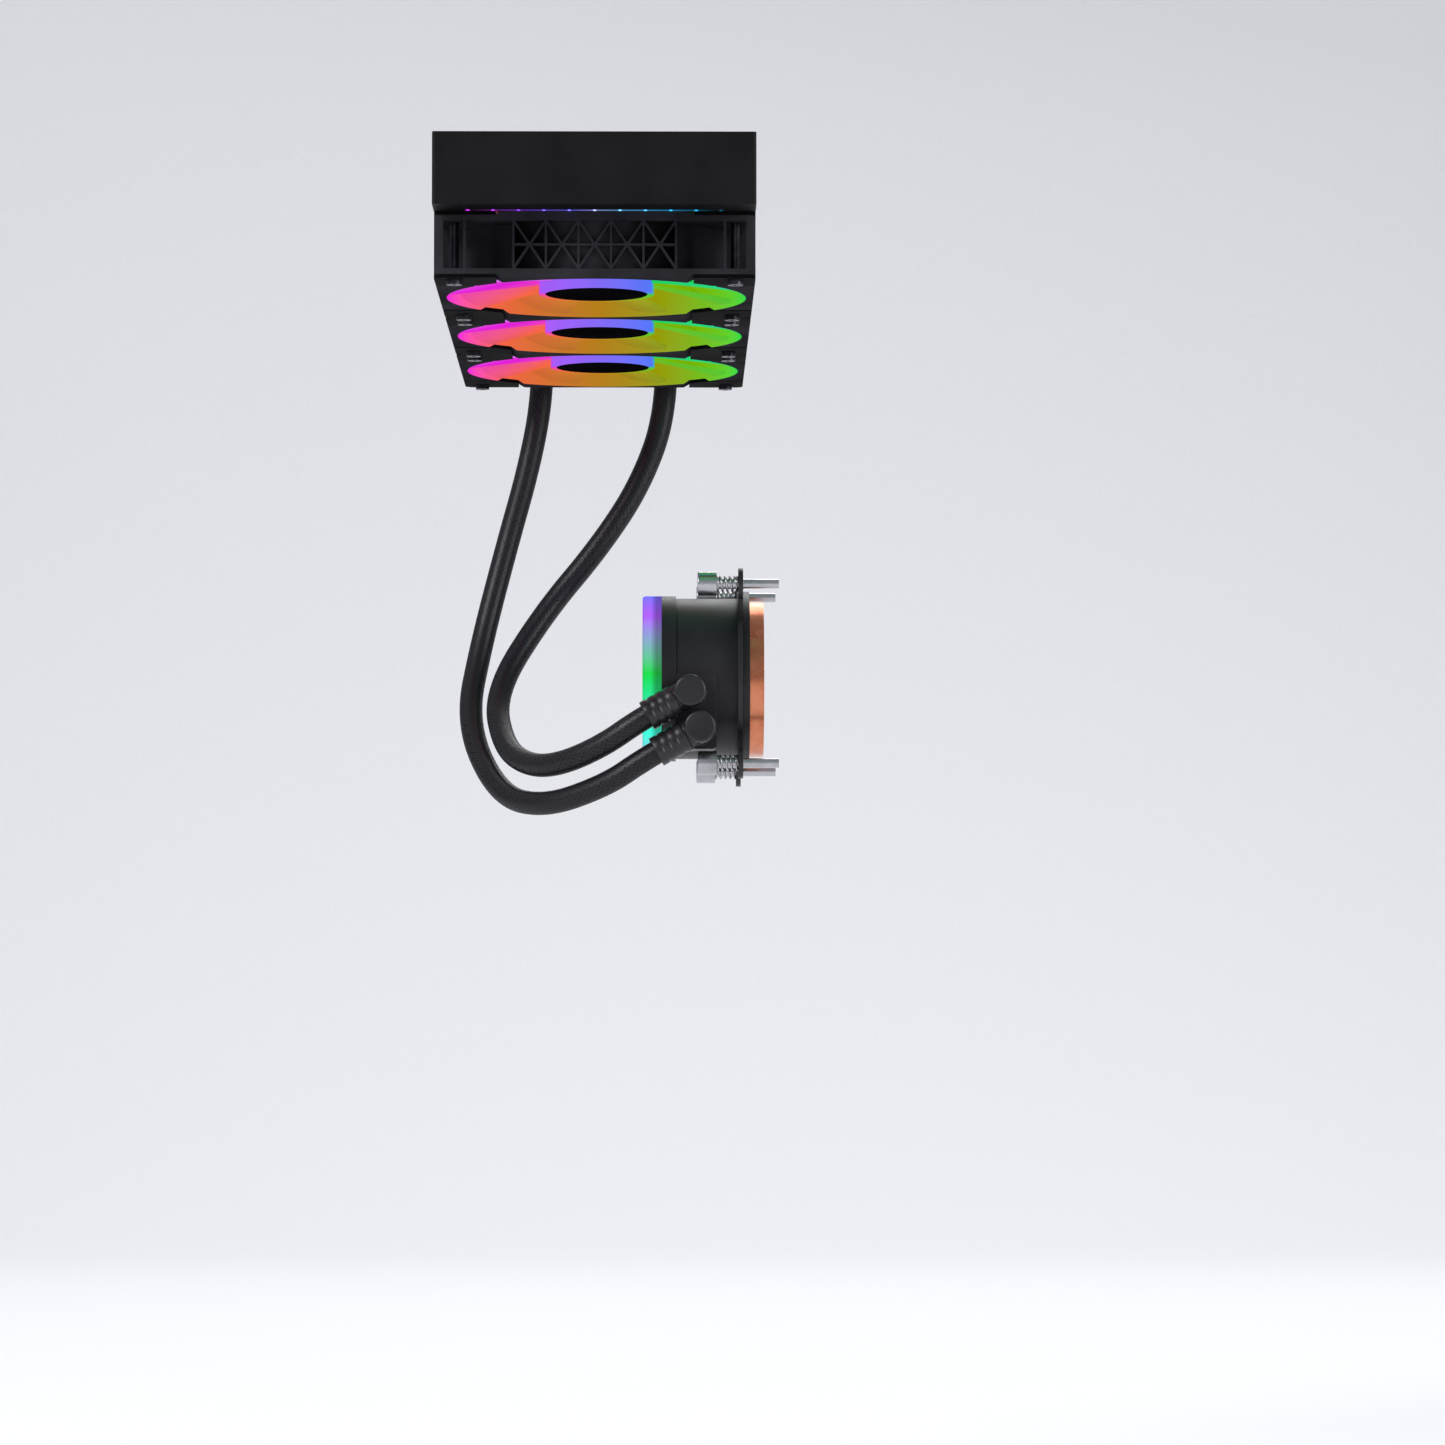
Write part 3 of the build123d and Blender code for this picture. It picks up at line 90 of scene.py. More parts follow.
# ------------------------------------------------------------------ node building
@dataclass
class NodeGraph:
    """A material's node tree, with short calls for the nodes that finishes share.

    Args:
        name: the material's name.
    """

    name: str
    material: bpy.types.Material = field(init=False)
    shader: bpy.types.ShaderNode = field(init=False)

    def __post_init__(self) -> None:
        """Makes an empty tree with one Principled shader on its output."""
        self.material = bpy.data.materials.new(self.name)
        self.material.use_nodes = True
        tree = self.material.node_tree
        tree.nodes.clear()
        self.shader = tree.nodes.new("ShaderNodeBsdfPrincipled")
        output = tree.nodes.new("ShaderNodeOutputMaterial")
        tree.links.new(self.shader.outputs["BSDF"], output.inputs["Surface"])

    def node(self, kind: str, **settings: object) -> bpy.types.ShaderNode:
        """Adds a node and sets its own properties.

        Args:
            kind: the node's type, without the ShaderNode prefix.
            settings: properties of the node.

        Returns:
            The new node.
        """
        made = self.material.node_tree.nodes.new("ShaderNode" + kind)
        for key, value in settings.items():
            setattr(made, key, value)
        return made

    def link(self, source: bpy.types.NodeSocket, target: bpy.types.NodeSocket) -> None:
        """Joins two sockets."""
        self.material.node_tree.links.new(source, target)

    def feed(self, target: bpy.types.NodeSocket, value: object) -> None:
        """Links a socket to the target, or sets the target to a plain value."""
        if isinstance(value, bpy.types.NodeSocket):
            self.link(value, target)
        else:
            target.default_value = value

    def maths(self, operation: str, *values: object, clamp: bool = False) -> bpy.types.NodeSocket:
        """One Math node.

        Args:
            operation: the node's operation.
            values: its inputs, sockets or numbers.
            clamp: whether the result is held from 0 to 1.

        Returns:
            The result's socket.
        """
        made = self.node("Math", operation=operation, use_clamp=clamp)
        for socket, value in zip(made.inputs, values):
            self.feed(socket, value)
        return made.outputs[0]

    def mapped(
        self, value: bpy.types.NodeSocket, low: float, high: float, start: float, end: float
    ) -> bpy.types.NodeSocket:
        """Maps low..high of a value to start..end, with the ends held."""
        made = self.node("MapRange", clamp=True)
        self.link(value, made.inputs["Value"])
        for key, number in zip(("From Min", "From Max", "To Min", "To Max"), (low, high, start, end)):
            made.inputs[key].default_value = number
        return made.outputs["Result"]

    def noise(self, size: float, detail: float = 3.0, stretch: tuple = (1, 1, 1)) -> bpy.types.NodeSocket:
        """Noise whose grains are about size metres across, in the piece's own frame."""
        coordinates = self.node("TexCoord").outputs["Object"]
        spread = self.node("Mapping")
        self.link(coordinates, spread.inputs["Vector"])
        spread.inputs["Scale"].default_value = stretch
        made = self.node("TexNoise")
        self.link(spread.outputs["Vector"], made.inputs["Vector"])
        made.inputs["Scale"].default_value = 1 / size
        made.inputs["Detail"].default_value = detail
        return made.outputs["Fac"]

    def ramp(self, value: object, stops: list, interpolation: str = "LINEAR") -> bpy.types.NodeSocket:
        """A colour ramp.

        Args:
            value: what drives it.
            stops: (position, colour) pairs, colours as linear triples.
            interpolation: how it blends between stops.

        Returns:
            The colour's socket.
        """
        made = self.node("ValToRGB")
        elements = made.color_ramp.elements
        made.color_ramp.interpolation = interpolation
        for element, (place, colour) in zip((elements[0], elements[-1]), (stops[0], stops[-1])):
            element.position = place
            element.color = (*colour, 1)
        for place, colour in stops[1:-1]:
            elements.new(place).color = (*colour, 1)
        self.feed(made.inputs["Fac"], value)
        return made.outputs["Color"]

    def mix(self, share: object, first: object, second: object) -> bpy.types.NodeSocket:
        """Mixes two colours by a share from 0, all first, to 1, all second."""
        made = self.node("Mix", data_type="RGBA")
        for socket, value in zip((made.inputs[0], made.inputs[6], made.inputs[7]), (share, first, second)):
            if isinstance(value, tuple):
                value = (*value, 1)
            self.feed(socket, value)
        return made.outputs[2]

    def bump(self, height: object, depth: float, round_edge: float = 0.0) -> None:
        """Roughens the surface's normal, over softly rounded edges.

        Args:
            height: the height's socket, from 0 to 1.
            depth: how deep it goes, in metres.
            round_edge: the radius that edges are shaded with, in metres.
        """
        made = self.node("Bump")
        made.inputs["Strength"].default_value = 1.0
        made.inputs["Distance"].default_value = depth
        self.link(height, made.inputs["Height"])
        if round_edge:
            soft = self.node("Bevel", samples=4)
            soft.inputs["Radius"].default_value = round_edge
            self.link(soft.outputs["Normal"], made.inputs["Normal"])
        self.link(made.outputs["Normal"], self.shader.inputs["Normal"])

    def set(self, **values: object) -> None:
        """Sets or links sockets of the shader; underscores in names stand for spaces."""
        for key, value in values.items():
            name = key.replace("_", " ").title().replace("Ior", "IOR")
            if isinstance(value, tuple) and len(value) == 3:
                value = (*value, 1)
            self.feed(self.shader.inputs[name], value)


def linear(red: int, green: int, blue: int) -> tuple[float, float, float]:
    """A colour given in screen bytes, as the linear triple that shaders take."""
    def one(value: int) -> float:
        """One channel of the colour."""
        share = value / 255
        return share / 12.92 if share <= 0.04045 else ((share + 0.055) / 1.055) ** 2.4
    return one(red), one(green), one(blue)


# ------------------------------------------------------------------------ finishes
@dataclass(frozen=True)
class Coating:
    """Paint, moulded plastic or rubber: a grained skin over one colour.

    Args:
        name: the finish's name.
        colour: its linear colour.
        roughness: its middle roughness.
        grain: size of the grain, in metres.
        depth: depth of the grain, in metres.
        mottle: how far the colour varies, as a share.
        specular: strength of its plain reflection.
        coat: strength of a clear coat.
        edge: radius that edges are shaded with, in metres.
    """

    name: str
    colour: tuple[float, float, float]
    roughness: float
    grain: float = 0.4 * MM
    depth: float = 0.02 * MM
    mottle: float = 0.25
    specular: float = 0.4
    coat: float = 0.0
    edge: float = 0.25 * MM

    def graph(self) -> NodeGraph:
        """Builds the finish as a node graph, which a lit finish adds to."""
        graph = NodeGraph(self.name)
        broad = graph.noise(22 * MM, detail=4)
        dark = tuple(c * (1 - self.mottle) for c in self.colour)
        light = tuple(c * (1 + self.mottle) for c in self.colour)
        shade = graph.mapped(broad, 0.35, 0.65, 0, 1)
        rough = graph.mapped(broad, 0.3, 0.7, self.roughness - 0.06, self.roughness + 0.06)
        graph.set(
            base_color=graph.mix(shade, dark, light),
            roughness=rough,
            specular_ior_level=self.specular,
            coat_weight=self.coat,
            coat_roughness=0.12,
        )
        graph.bump(graph.noise(self.grain, detail=5), self.depth, self.edge)
        return graph

    def material(self) -> bpy.types.Material:
        """Builds the finish as a material."""
        return self.graph().material


@dataclass(frozen=True)
class Metal:
    """Bare metal with fine tool marks drawn out along one direction.

    Args:
        name: the finish's name.
        colour: its linear colour.
        roughness: its middle roughness.
        marks: size of the tool marks, in metres.
        stretch: scale of the marks along each axis; a small number draws them out.
        depth: depth of the marks, in metres.
        tarnish: a second linear colour that shows in patches.
        edge: radius that edges are shaded with, in metres.
    """

    name: str
    colour: tuple[float, float, float]
    roughness: float
    marks: float = 0.3 * MM
    stretch: tuple[float, float, float] = (1, 1, 1)
    depth: float = 0.01 * MM
    tarnish: tuple[float, float, float] | None = None
    edge: float = 0.1 * MM

    def material(self) -> bpy.types.Material:
        """Builds the finish as a material."""
        graph = NodeGraph(self.name)
        patches = graph.noise(9 * MM, detail=4)
        second = self.tarnish or tuple(c * 0.8 for c in self.colour)
        marks = graph.noise(self.marks, detail=4, stretch=self.stretch)
        graph.set(
            base_color=graph.mix(graph.mapped(patches, 0.45, 0.7, 0, 1), self.colour, second),
            roughness=graph.mapped(marks, 0.3, 0.7, self.roughness - 0.08, self.roughness + 0.08),
            metallic=1.0,
        )
        graph.bump(marks, self.depth, self.edge)
        return graph.material


@dataclass(frozen=True)
class Board:
    """Solder mask over copper tracks.

    Args:
        name: the finish's name.
    """

    name: str

    def material(self) -> bpy.types.Material:
        """Builds the finish as a material."""
        graph = NodeGraph(self.name)
        tracks = graph.node("TexBrick")
        graph.link(graph.node("TexCoord").outputs["Object"], tracks.inputs["Vector"])
        tracks.inputs["Scale"].default_value = 260
        tracks.inputs["Mortar Size"].default_value = 0.05
        ink, copper = linear(12, 34, 24), linear(30, 70, 46)
        graph.set(base_color=graph.mix(tracks.outputs["Fac"], ink, copper), roughness=0.35)
        graph.bump(tracks.outputs["Fac"], 0.03 * MM)
        return graph.material


# --------------------------------------------------------------------------- light
BLUE = (80, 120, 255)
TURQUOISE = (60, 240, 210)
GREEN = (0, 210, 60)
LIME = (120, 190, 0)
AMBER = (200, 140, 0)
CORAL = (250, 100, 60)
MAGENTA = (230, 0, 220)
ORCHID = (230, 120, 250)
VIOLET = (170, 90, 250)
# Evenly spaced round a fan, from the side that faces -Y towards +X.
FAN_WHEEL = [BLUE, TURQUOISE, GREEN, LIME, AMBER, CORAL, MAGENTA, ORCHID]
# Evenly spaced round the pump's ring, from its top down the side that faces -Y.
PUMP_WHEEL = [BLUE, VIOLET, GREEN, TURQUOISE, VIOLET, MAGENTA, ORCHID, BLUE]


def wheel(
    graph: NodeGraph, turn: bpy.types.NodeSocket, hues: list[tuple[int, int, int]]
) -> bpy.types.NodeSocket:
    """A colour that runs round a circle through evenly spaced hues."""
    closed = [*hues, hues[0]]
    return graph.ramp(turn, [(i / len(hues), linear(*hue)) for i, hue in enumerate(closed)])


@dataclass(frozen=True)
class FanLight:
    """Where a point lies round the nearest fan's axis, and the light's colour there.

    The lamps don't turn with the blades, so the colours hold to the place.

    Args:
        hub: radius of a fan's hub.
        duct: radius of a fan's duct.
        twist: how far round the hues are drawn at the hub, in turns.
    """

    hub: float = 22 * MM
    duct: float = 57 * MM
    twist: float = 0.05

    def place(self, graph: NodeGraph) -> dict[str, bpy.types.NodeSocket]:
        """Sockets for x across, near towards -Y, the radius, and the turn from -Y to +X."""
        split = graph.node("SeparateXYZ")
        graph.link(graph.node("NewGeometry").outputs["Position"], split.inputs[0])
        low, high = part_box("fan_1_frame")
        pitch = high.y - low.y
        x = split.outputs["X"]
        along = graph.maths("FLOORED_MODULO", graph.maths("SUBTRACT", split.outputs["Y"], low.y), pitch)
        near = graph.maths("SUBTRACT", pitch / 2, along)
        turn = graph.maths("DIVIDE", graph.maths("ARCTAN2", x, near), math.tau)
        squares = graph.maths("ADD", graph.maths("POWER", x, 2.0), graph.maths("POWER", near, 2.0))
        return {
            "x": x,
            "near": near,
            "radius": graph.maths("SQRT", squares),
            "turn": graph.maths("FLOORED_MODULO", turn, 1.0),
        }

    def colour(self, graph: NodeGraph, place: dict[str, bpy.types.NodeSocket]) -> bpy.types.NodeSocket:
        """The wheel of hues, drawn towards the far side near the hub."""
        turn = place["turn"]
        swing = graph.maths("SINE", graph.maths("MULTIPLY", turn, math.tau))
        pull = graph.mapped(place["radius"], self.hub, self.duct, self.twist, 0)
        return wheel(graph, graph.maths("ADD", turn, graph.maths("MULTIPLY", swing, pull)), FAN_WHEEL)

    def level(self, graph: NodeGraph, place: dict[str, bpy.types.NodeSocket]) -> bpy.types.NodeSocket:
        """How bright the light is: full near -Y, with painted shade dimming it towards the far rim."""
        return graph.mapped(place["near"], -0.4 * self.duct, -self.duct, 1, 0.7)

    def painted_hub_wall_light(self, graph: NodeGraph, place: dict[str, bpy.types.NodeSocket]) -> bpy.types.NodeSocket:
        """Painted light on the near half of the hub's wall, the half that faces -Y, running from violet to
        blue across it.
        """
        across = graph.mapped(place["x"], -self.hub, self.hub, 0, 1)
        return graph.mix(across, linear(*VIOLET), linear(*BLUE))


@dataclass(frozen=True)
class Glow:
    """Milky plastic lit from inside, whose colour runs round the piece.

    Args:
        name: the finish's name.
        kind: what is lit.
        strength: how strongly it shines.
    """

    name: str
    kind: Light
    strength: float

    def material(self) -> bpy.types.Material:
        """Builds the finish as a material."""
        graph = NodeGraph(self.name)
        colour, strength = (self._blades if self.kind is Light.BLADES else self._pump)(graph)
        graph.set(
            base_color=linear(30, 30, 34),
            roughness=0.5,
            specular_ior_level=0.0,
            emission_color=colour,
            emission_strength=strength,
        )
        return graph.material

    def _blades(self, graph: NodeGraph) -> tuple[bpy.types.NodeSocket, bpy.types.NodeSocket]:
        """Colours of a fan's rotor, with painted light on the near half of the hub's wall."""
        light = FanLight()
        place = light.place(graph)
        # Painted light: the hub's wall glows only on its near half, the side that faces -Y.
        within = graph.maths("LESS_THAN", place["radius"], light.hub + 0.3 * MM)
        painted_near_side = graph.mapped(place["near"], 0, 7 * MM, 0, 1)
        painted_wall_light = graph.maths("MULTIPLY", within, painted_near_side)
        colour = graph.mix(painted_wall_light, light.colour(graph, place), light.painted_hub_wall_light(graph, place))
        flicker = graph.mapped(graph.noise(14 * MM, detail=2), 0.3, 0.7, 0.95, 1.05)
        # Painted shade: the glow is dimmed towards the far rim.
        strength = graph.maths("MULTIPLY", flicker, light.level(graph, place))
        return colour, graph.maths("MULTIPLY", strength, self.strength)

    def _pump(self, graph: NodeGraph) -> tuple[bpy.types.NodeSocket, bpy.types.NodeSocket]:
        """Colours of the pump's ring, from its top down the side that faces -Y."""
        low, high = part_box("pump_light_ring")
        middle = (low + high) / 2
        split = graph.node("SeparateXYZ")
        graph.link(graph.node("NewGeometry").outputs["Position"], split.inputs[0])
        near = graph.maths("SUBTRACT", middle.y, split.outputs["Y"])
        up = graph.maths("SUBTRACT", split.outputs["Z"], middle.z)
        turn = graph.maths("DIVIDE", graph.maths("ARCTAN2", near, up), math.tau)
        turn = graph.maths("FLOORED_MODULO", turn, 1.0)
        from_line = graph.maths("SUBTRACT", split.outputs["X"], low.x + 2.2 * MM)
        line = graph.mapped(graph.maths("ABSOLUTE", from_line), 1.2 * MM, 3.5 * MM, 1, 0.45)
        return wheel(graph, turn, PUMP_WHEEL), graph.maths("MULTIPLY", line, self.strength)


@dataclass(frozen=True)
class PaintedGlowDuctPlastic(Coating):
    """Moulded fan frame, with painted light on its duct wall: emission in the blades' colours that stands in
    for their light falling on it.
    """

    def material(self) -> bpy.types.Material:
        """Builds the finish as a material."""
        graph = self.graph()
        light = FanLight()
        place = light.place(graph)
        # Painted light: the duct wall glows in the blades' colours, dimmed by the painted far-rim shade.
        off = graph.maths("ABSOLUTE", graph.maths("SUBTRACT", place["radius"], light.duct))
        painted_wall_light = graph.mapped(off, 0.1 * MM, 0.25 * MM, 1.1, 0)
        strength = graph.maths("MULTIPLY", painted_wall_light, light.level(graph, place))
        graph.set(emission_color=light.colour(graph, place), emission_strength=strength)
        return graph.material


@dataclass(frozen=True)
class RadiatorPaintPaintedGlints(Coating):
    """Radiator paint with a row of small painted glints: emission that stands in for the fans' light caught
    on the tube ends.

    Args:
        pitch: distance between the glints, which is the tubes'.
        half_width: half of a glint's width.
        reach: how far past the header the glints lie.
    """

    pitch: float = 9.45 * MM
    half_width: float = 1.3 * MM
    reach: float = 2.4 * MM

    def material(self) -> bpy.types.Material:
        """Builds the finish as a material."""
        graph = self.graph()
        split = graph.node("SeparateXYZ")
        graph.link(graph.node("NewGeometry").outputs["Position"], split.inputs[0])
        low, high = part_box("header_front")
        x, y, z = (split.outputs[axis] for axis in "XYZ")
        # Painted glints: emission spots at the tube pitch, joined by a faint painted line, on the underside
        # just past the header.
        nearest = graph.maths("SNAP", graph.maths("ADD", x, self.pitch / 2), self.pitch)
        off = graph.maths("ABSOLUTE", graph.maths("SUBTRACT", x, nearest))
        painted_glint = graph.mapped(off, 0.2 * MM, self.half_width, 1, 0)
        painted_glint = graph.maths("POWER", painted_glint, 2.0)
        painted_glow_line = graph.mapped(graph.maths("ABSOLUTE", x), 30 * MM, 46 * MM, 0.16, 0)
        behind = graph.mapped(y, low.y - self.reach, low.y - self.reach / 3, 0, 1)
        under = graph.maths("LESS_THAN", z, low.z + 0.05 * MM)
        within = graph.mapped(graph.maths("ABSOLUTE", graph.maths("ADD", x, 3 * MM)), 44 * MM, 52 * MM, 1, 0)
        mask = graph.maths("MULTIPLY", graph.maths("MAXIMUM", painted_glint, painted_glow_line), behind)
        mask = graph.maths("MULTIPLY", graph.maths("MULTIPLY", mask, under), within)
        colour = graph.ramp(graph.mapped(x, -50 * MM, 50 * MM, 0, 1), [
            (0.0, linear(180, 40, 190)), (0.25, linear(120, 60, 220)), (0.42, linear(110, 110, 255)),
            (0.5, linear(170, 180, 255)), (0.6, linear(110, 190, 255)), (0.75, linear(40, 170, 230)),
            (1.0, linear(20, 120, 170)),
        ])
        graph.set(emission_color=colour, emission_strength=graph.maths("MULTIPLY", mask, 2.6))
        return graph.material


@dataclass(frozen=True)
class Thread:
    """Braided black yarn, with painted shade in the gaps of the weave, in its colour and its weaker
    reflection there, and a little gloss on the crowns.

    Args:
        name: the finish's name.
        height: the mesh attribute that holds the weave's height, from 0 to 1.
    """

    name: str
    height: str = "weave"

    def material(self) -> bpy.types.Material:
        """Builds the finish as a material."""
        graph = NodeGraph(self.name)
        fibre = graph.noise(0.25 * MM, detail=4)
        weave = graph.node("Attribute")
        weave.attribute_name = self.height
        crown = graph.mapped(weave.outputs["Fac"], 0.25, 0.95, 0, 1)
        yarn = graph.mix(graph.mapped(fibre, 0.3, 0.7, 0, 1), linear(18, 18, 22), linear(40, 40, 46))
        # Painted shade: the weave's gaps go near black and reflect less.
        graph.set(
            base_color=graph.mix(crown, linear(3, 3, 4), yarn),
            roughness=graph.mapped(fibre, 0.3, 0.7, 0.28, 0.42),
            specular_ior_level=graph.mapped(crown, 0, 1, 0.03, 0.5),
        )
        graph.bump(fibre, 0.02 * MM)
        return graph.material


class Palette:
    """Every finish of the cooler, built once and handed out by slot name."""

    def __init__(self) -> None:
        """Lists the finishes and builds their materials."""
        finishes = {
            "radiator_paint": Coating(
                "radiator_paint", linear(12, 12, 14), 0.5, 0.5 * MM, 0.03 * MM, specular=0.14, edge=0.5 * MM
            ),
            "core_metal": Coating("core_metal", linear(30, 30, 33), 0.42, 0.6 * MM, 0.01 * MM, edge=0),
            "fitting_metal": Coating("fitting_metal", linear(26, 26, 29), 0.32, 0.3 * MM, 0.006 * MM),
            # The fan frames' plastic carries painted light on its duct wall.
            "fan_plastic": PaintedGlowDuctPlastic(
                "fan_plastic", linear(42, 41, 45), 0.5, 0.25 * MM, 0.02 * MM, specular=0.0, edge=0.2 * MM
            ),
            "lit_blades": Glow("lit_blades", Light.BLADES, 0.95),
            "gloss_cap": Coating(
                "gloss_cap", linear(8, 8, 10), 0.25, 3 * MM, 0.002 * MM, specular=0.0, edge=0.2 * MM
            ),
            "magnet": Coating("magnet", linear(46, 44, 44), 0.6),
            "steel": Metal("steel", linear(180, 180, 184), 0.28),
            "screw_black": Metal("screw_black", linear(48, 48, 54), 0.34, tarnish=linear(84, 84, 92)),
            "bronze": Metal("bronze", linear(176, 130, 74), 0.4),
            "windings": Metal("windings", linear(196, 96, 48), 0.3, 0.35 * MM, (1, 1, 6), 0.08 * MM),
            "board": Board("board"),
            "rubber": Coating("rubber", linear(7, 7, 8), 0.8, 0.5 * MM, 0.03 * MM, specular=0.03),
            "pump_plastic": Coating(
                "pump_plastic", linear(22, 22, 25), 0.42, 0.3 * MM, 0.015 * MM, specular=0.3, edge=0.4 * MM
            ),
            "pump_glow": Glow("pump_glow", Light.PUMP, 1.15),
            "impeller_plastic": Coating("impeller_plastic", linear(214, 214, 206), 0.35),
            "ceramic_shaft": Coating("ceramic_shaft", linear(228, 228, 220), 0.15),
            "copper": Metal(
                "copper", linear(206, 132, 98), 0.22, 0.5 * MM, (1, 8, 0.3), 0.01 * MM,
                linear(186, 110, 80), 0.2 * MM,
            ),
            "bracket_steel": Coating("bracket_steel", linear(24, 24, 27), 0.4, 0.4 * MM, 0.02 * MM),
            "hose_braid": Thread("hose_braid"),
        }
        # The front tank and header get radiator paint with painted glints.
        front = RadiatorPaintPaintedGlints("painted_glints_radiator_paint", linear(12, 12, 14), 0.5, 0.5 * MM, 0.03 * MM, specular=0.14)
        self.front_paint_painted_glints = front.material()
        self.materials = {slot: finish.material() for slot, finish in finishes.items()}

    def dress(self, piece: bpy.types.Object, slot: str) -> None:
        """Gives a piece one finish all over."""
        piece.data.materials.clear()
        piece.data.materials.append(self.materials[slot])


# -------------------------------------------------------------------- mesh helpers
def mesh_object(name: str, points: np.ndarray, faces: np.ndarray, smooth: bool = True) -> bpy.types.Object:
    """Makes a mesh object from corner points and faces.

    Args:
        name: the piece's name.
        points: one row per point, in metres.
        faces: one row of point numbers per face.
        smooth: whether its faces are shaded smooth.

    Returns:
        The object, linked to the scene.
    """
    mesh = bpy.data.meshes.new(name)
    mesh.from_pydata(points.tolist(), [], faces.tolist())
    mesh.validate()
    if smooth:
        mesh.shade_smooth()
    piece = bpy.data.objects.new(name, mesh)
    bpy.context.scene.collection.objects.link(piece)
    return piece


def tube_faces(rings: int, around: int, closed_ends: bool) -> np.ndarray:
    """Quads of a tube whose rings follow each other, with fans at its ends if closed."""
    i, j = np.meshgrid(np.arange(rings - 1), np.arange(around), indexing="ij")
    after = (j + 1) % around
    a, b = i * around + j, i * around + after
    quads = np.stack([a, b, b + around, a + around], -1).reshape(-1, 4)
    if not closed_ends:
        return quads
    spokes = np.arange(around)
    nexts = (spokes + 1) % around
    first, last = rings * around, rings * around + 1
    start = np.stack([np.full(around, first), nexts, spokes, spokes], -1)
    base = (rings - 1) * around
    end = np.stack([np.full(around, last), base + spokes, base + nexts, base + nexts], -1)
    return np.concatenate([quads, start, end])


def as_lists(faces: np.ndarray) -> list[list[int]]:
    """Faces as lists, with a repeated last corner dropped to leave a triangle."""
    return [row[:3] if row[2] == row[3] else row for row in faces.tolist()]


def carried(line: np.ndarray) -> tuple[np.ndarray, np.ndarray]:
    """Two unit vectors square to a line at each of its points, carried along untwisted.

    Args:
        line: the points of the line.

    Returns:
        The first and second vectors, one row per point.
    """
    tangents = np.gradient(line, axis=0)
    tangents /= np.linalg.norm(tangents, axis=1)[:, None]
    first = np.empty_like(line)
    start = np.array([0.0, 1.0, 0.0]) if abs(tangents[0][1]) < 0.9 else np.array([1.0, 0.0, 0.0])
    for i, tangent in enumerate(tangents):
        start = start - tangent * (start @ tangent)
        start /= np.linalg.norm(start)
        first[i] = start
    return first, np.cross(tangents, first)


def evenly(line: np.ndarray, step: float) -> tuple[np.ndarray, np.ndarray]:
    """A line's points again, step apart, and how far along it each lies."""
    runs = np.linalg.norm(np.diff(line, axis=0), axis=1)
    along = np.concatenate([[0], np.cumsum(runs)])
    at = np.linspace(0, along[-1], int(along[-1] / step) + 1)
    return np.stack([np.interp(at, along, line[:, k]) for k in range(3)], 1), at


# --------------------------------------------------------------------------- hoses
@dataclass
class BraidedHose:
    """A rubber hose in a tight woven sleeve, from a tank fitting to a pump elbow.

    Args:
        side: which hose it is.
        route: the control points of its line, in metres.
        length: its real length, in metres; not used.
        radius: outside radius over the sleeve.
        carriers: strands that run each way round.
        relief: how far the strands stand out.
        around: points round each ring.
        step: distance between rings.
    """

    side: Side
    route: list[tuple[float, float, float]]
    length: float
    radius: float = 5.0 * MM
    carriers: int = 28
    relief: float = 0.38 * MM
    around: int = 96
    step: float = 0.33 * MM

    def line(self) -> np.ndarray:
        """Points along the smooth spline that has the route as its control points."""
        curve = bpy.data.curves.new("hose_line", "CURVE")
        curve.dimensions = "3D"
        curve.resolution_u = 24
        spline = curve.splines.new("NURBS")
        spline.points.add(len(self.route) - 1)
        for point, place in zip(spline.points, self.route):
            point.co = (*place, 1)
        spline.order_u = 3
        spline.use_endpoint_u = True
        bare = bpy.data.objects.new("hose_line", curve)
        mesh = bpy.data.meshes.new_from_object(bare)
        points = np.array([v.co for v in mesh.vertices], float)
        bpy.data.meshes.remove(mesh)
        bpy.data.curves.remove(curve)
        return points

    def relief_at(self, angle: np.ndarray, along: np.ndarray) -> np.ndarray:
        """Height of the weave, from 0 in the gaps to 1 on the crowns."""
        share = angle * self.carriers / math.tau
        pitch = math.tau * self.radius / self.carriers
        one, other = share + along / pitch, share - along / pitch
        first, second = one % 1 - 0.5, other % 1 - 0.5
        over = (np.floor(one) + np.floor(other)) % 2 < 1
        across = np.where(over, first, second)
        lengthwise = np.where(over, second, first)
        return np.sqrt(np.cos(math.pi * across)) * (0.45 + 0.55 * np.cos(math.pi * lengthwise))

    def build(self, palette: Palette) -> bpy.types.Object:
        """Args:
            palette: the finishes.

        Returns:
            The hose's object.
        """
        line = self.line()
        centres, along = evenly(line, self.step)
        first, second = carried(centres)
        angle = np.arange(self.around) * math.tau / self.around
        height = self.relief_at(angle[None, :], along[:, None])
        reach = self.radius - self.relief * (1 - height)
        cosines, sines = np.cos(angle)[None, :, None], np.sin(angle)[None, :, None]
        spokes = cosines * first[:, None, :] + sines * second[:, None, :]
        rings = centres[:, None, :] + reach[:, :, None] * spokes
        points = np.concatenate([rings.reshape(-1, 3), centres[:1], centres[-1:]])
        mesh = bpy.data.meshes.new(f"braided_hose_{self.side.value}")
        mesh.from_pydata(points.tolist(), [], as_lists(tube_faces(len(centres), self.around, True)))
        mesh.shade_smooth()
        weave = mesh.attributes.new("weave", "FLOAT", "POINT")
        weave.data.foreach_set("value", np.concatenate([height.ravel(), [0.0, 0.0]]))
        hose = bpy.data.objects.new(mesh.name, mesh)
        bpy.context.scene.collection.objects.link(hose)
        palette.dress(hose, "hose_braid")
        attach(hose, ROOT_BODY)
        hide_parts(f"hose_{self.side.value}")
        LOG.info("hose %s: %d rings", self.side.value, len(centres))
        return hose


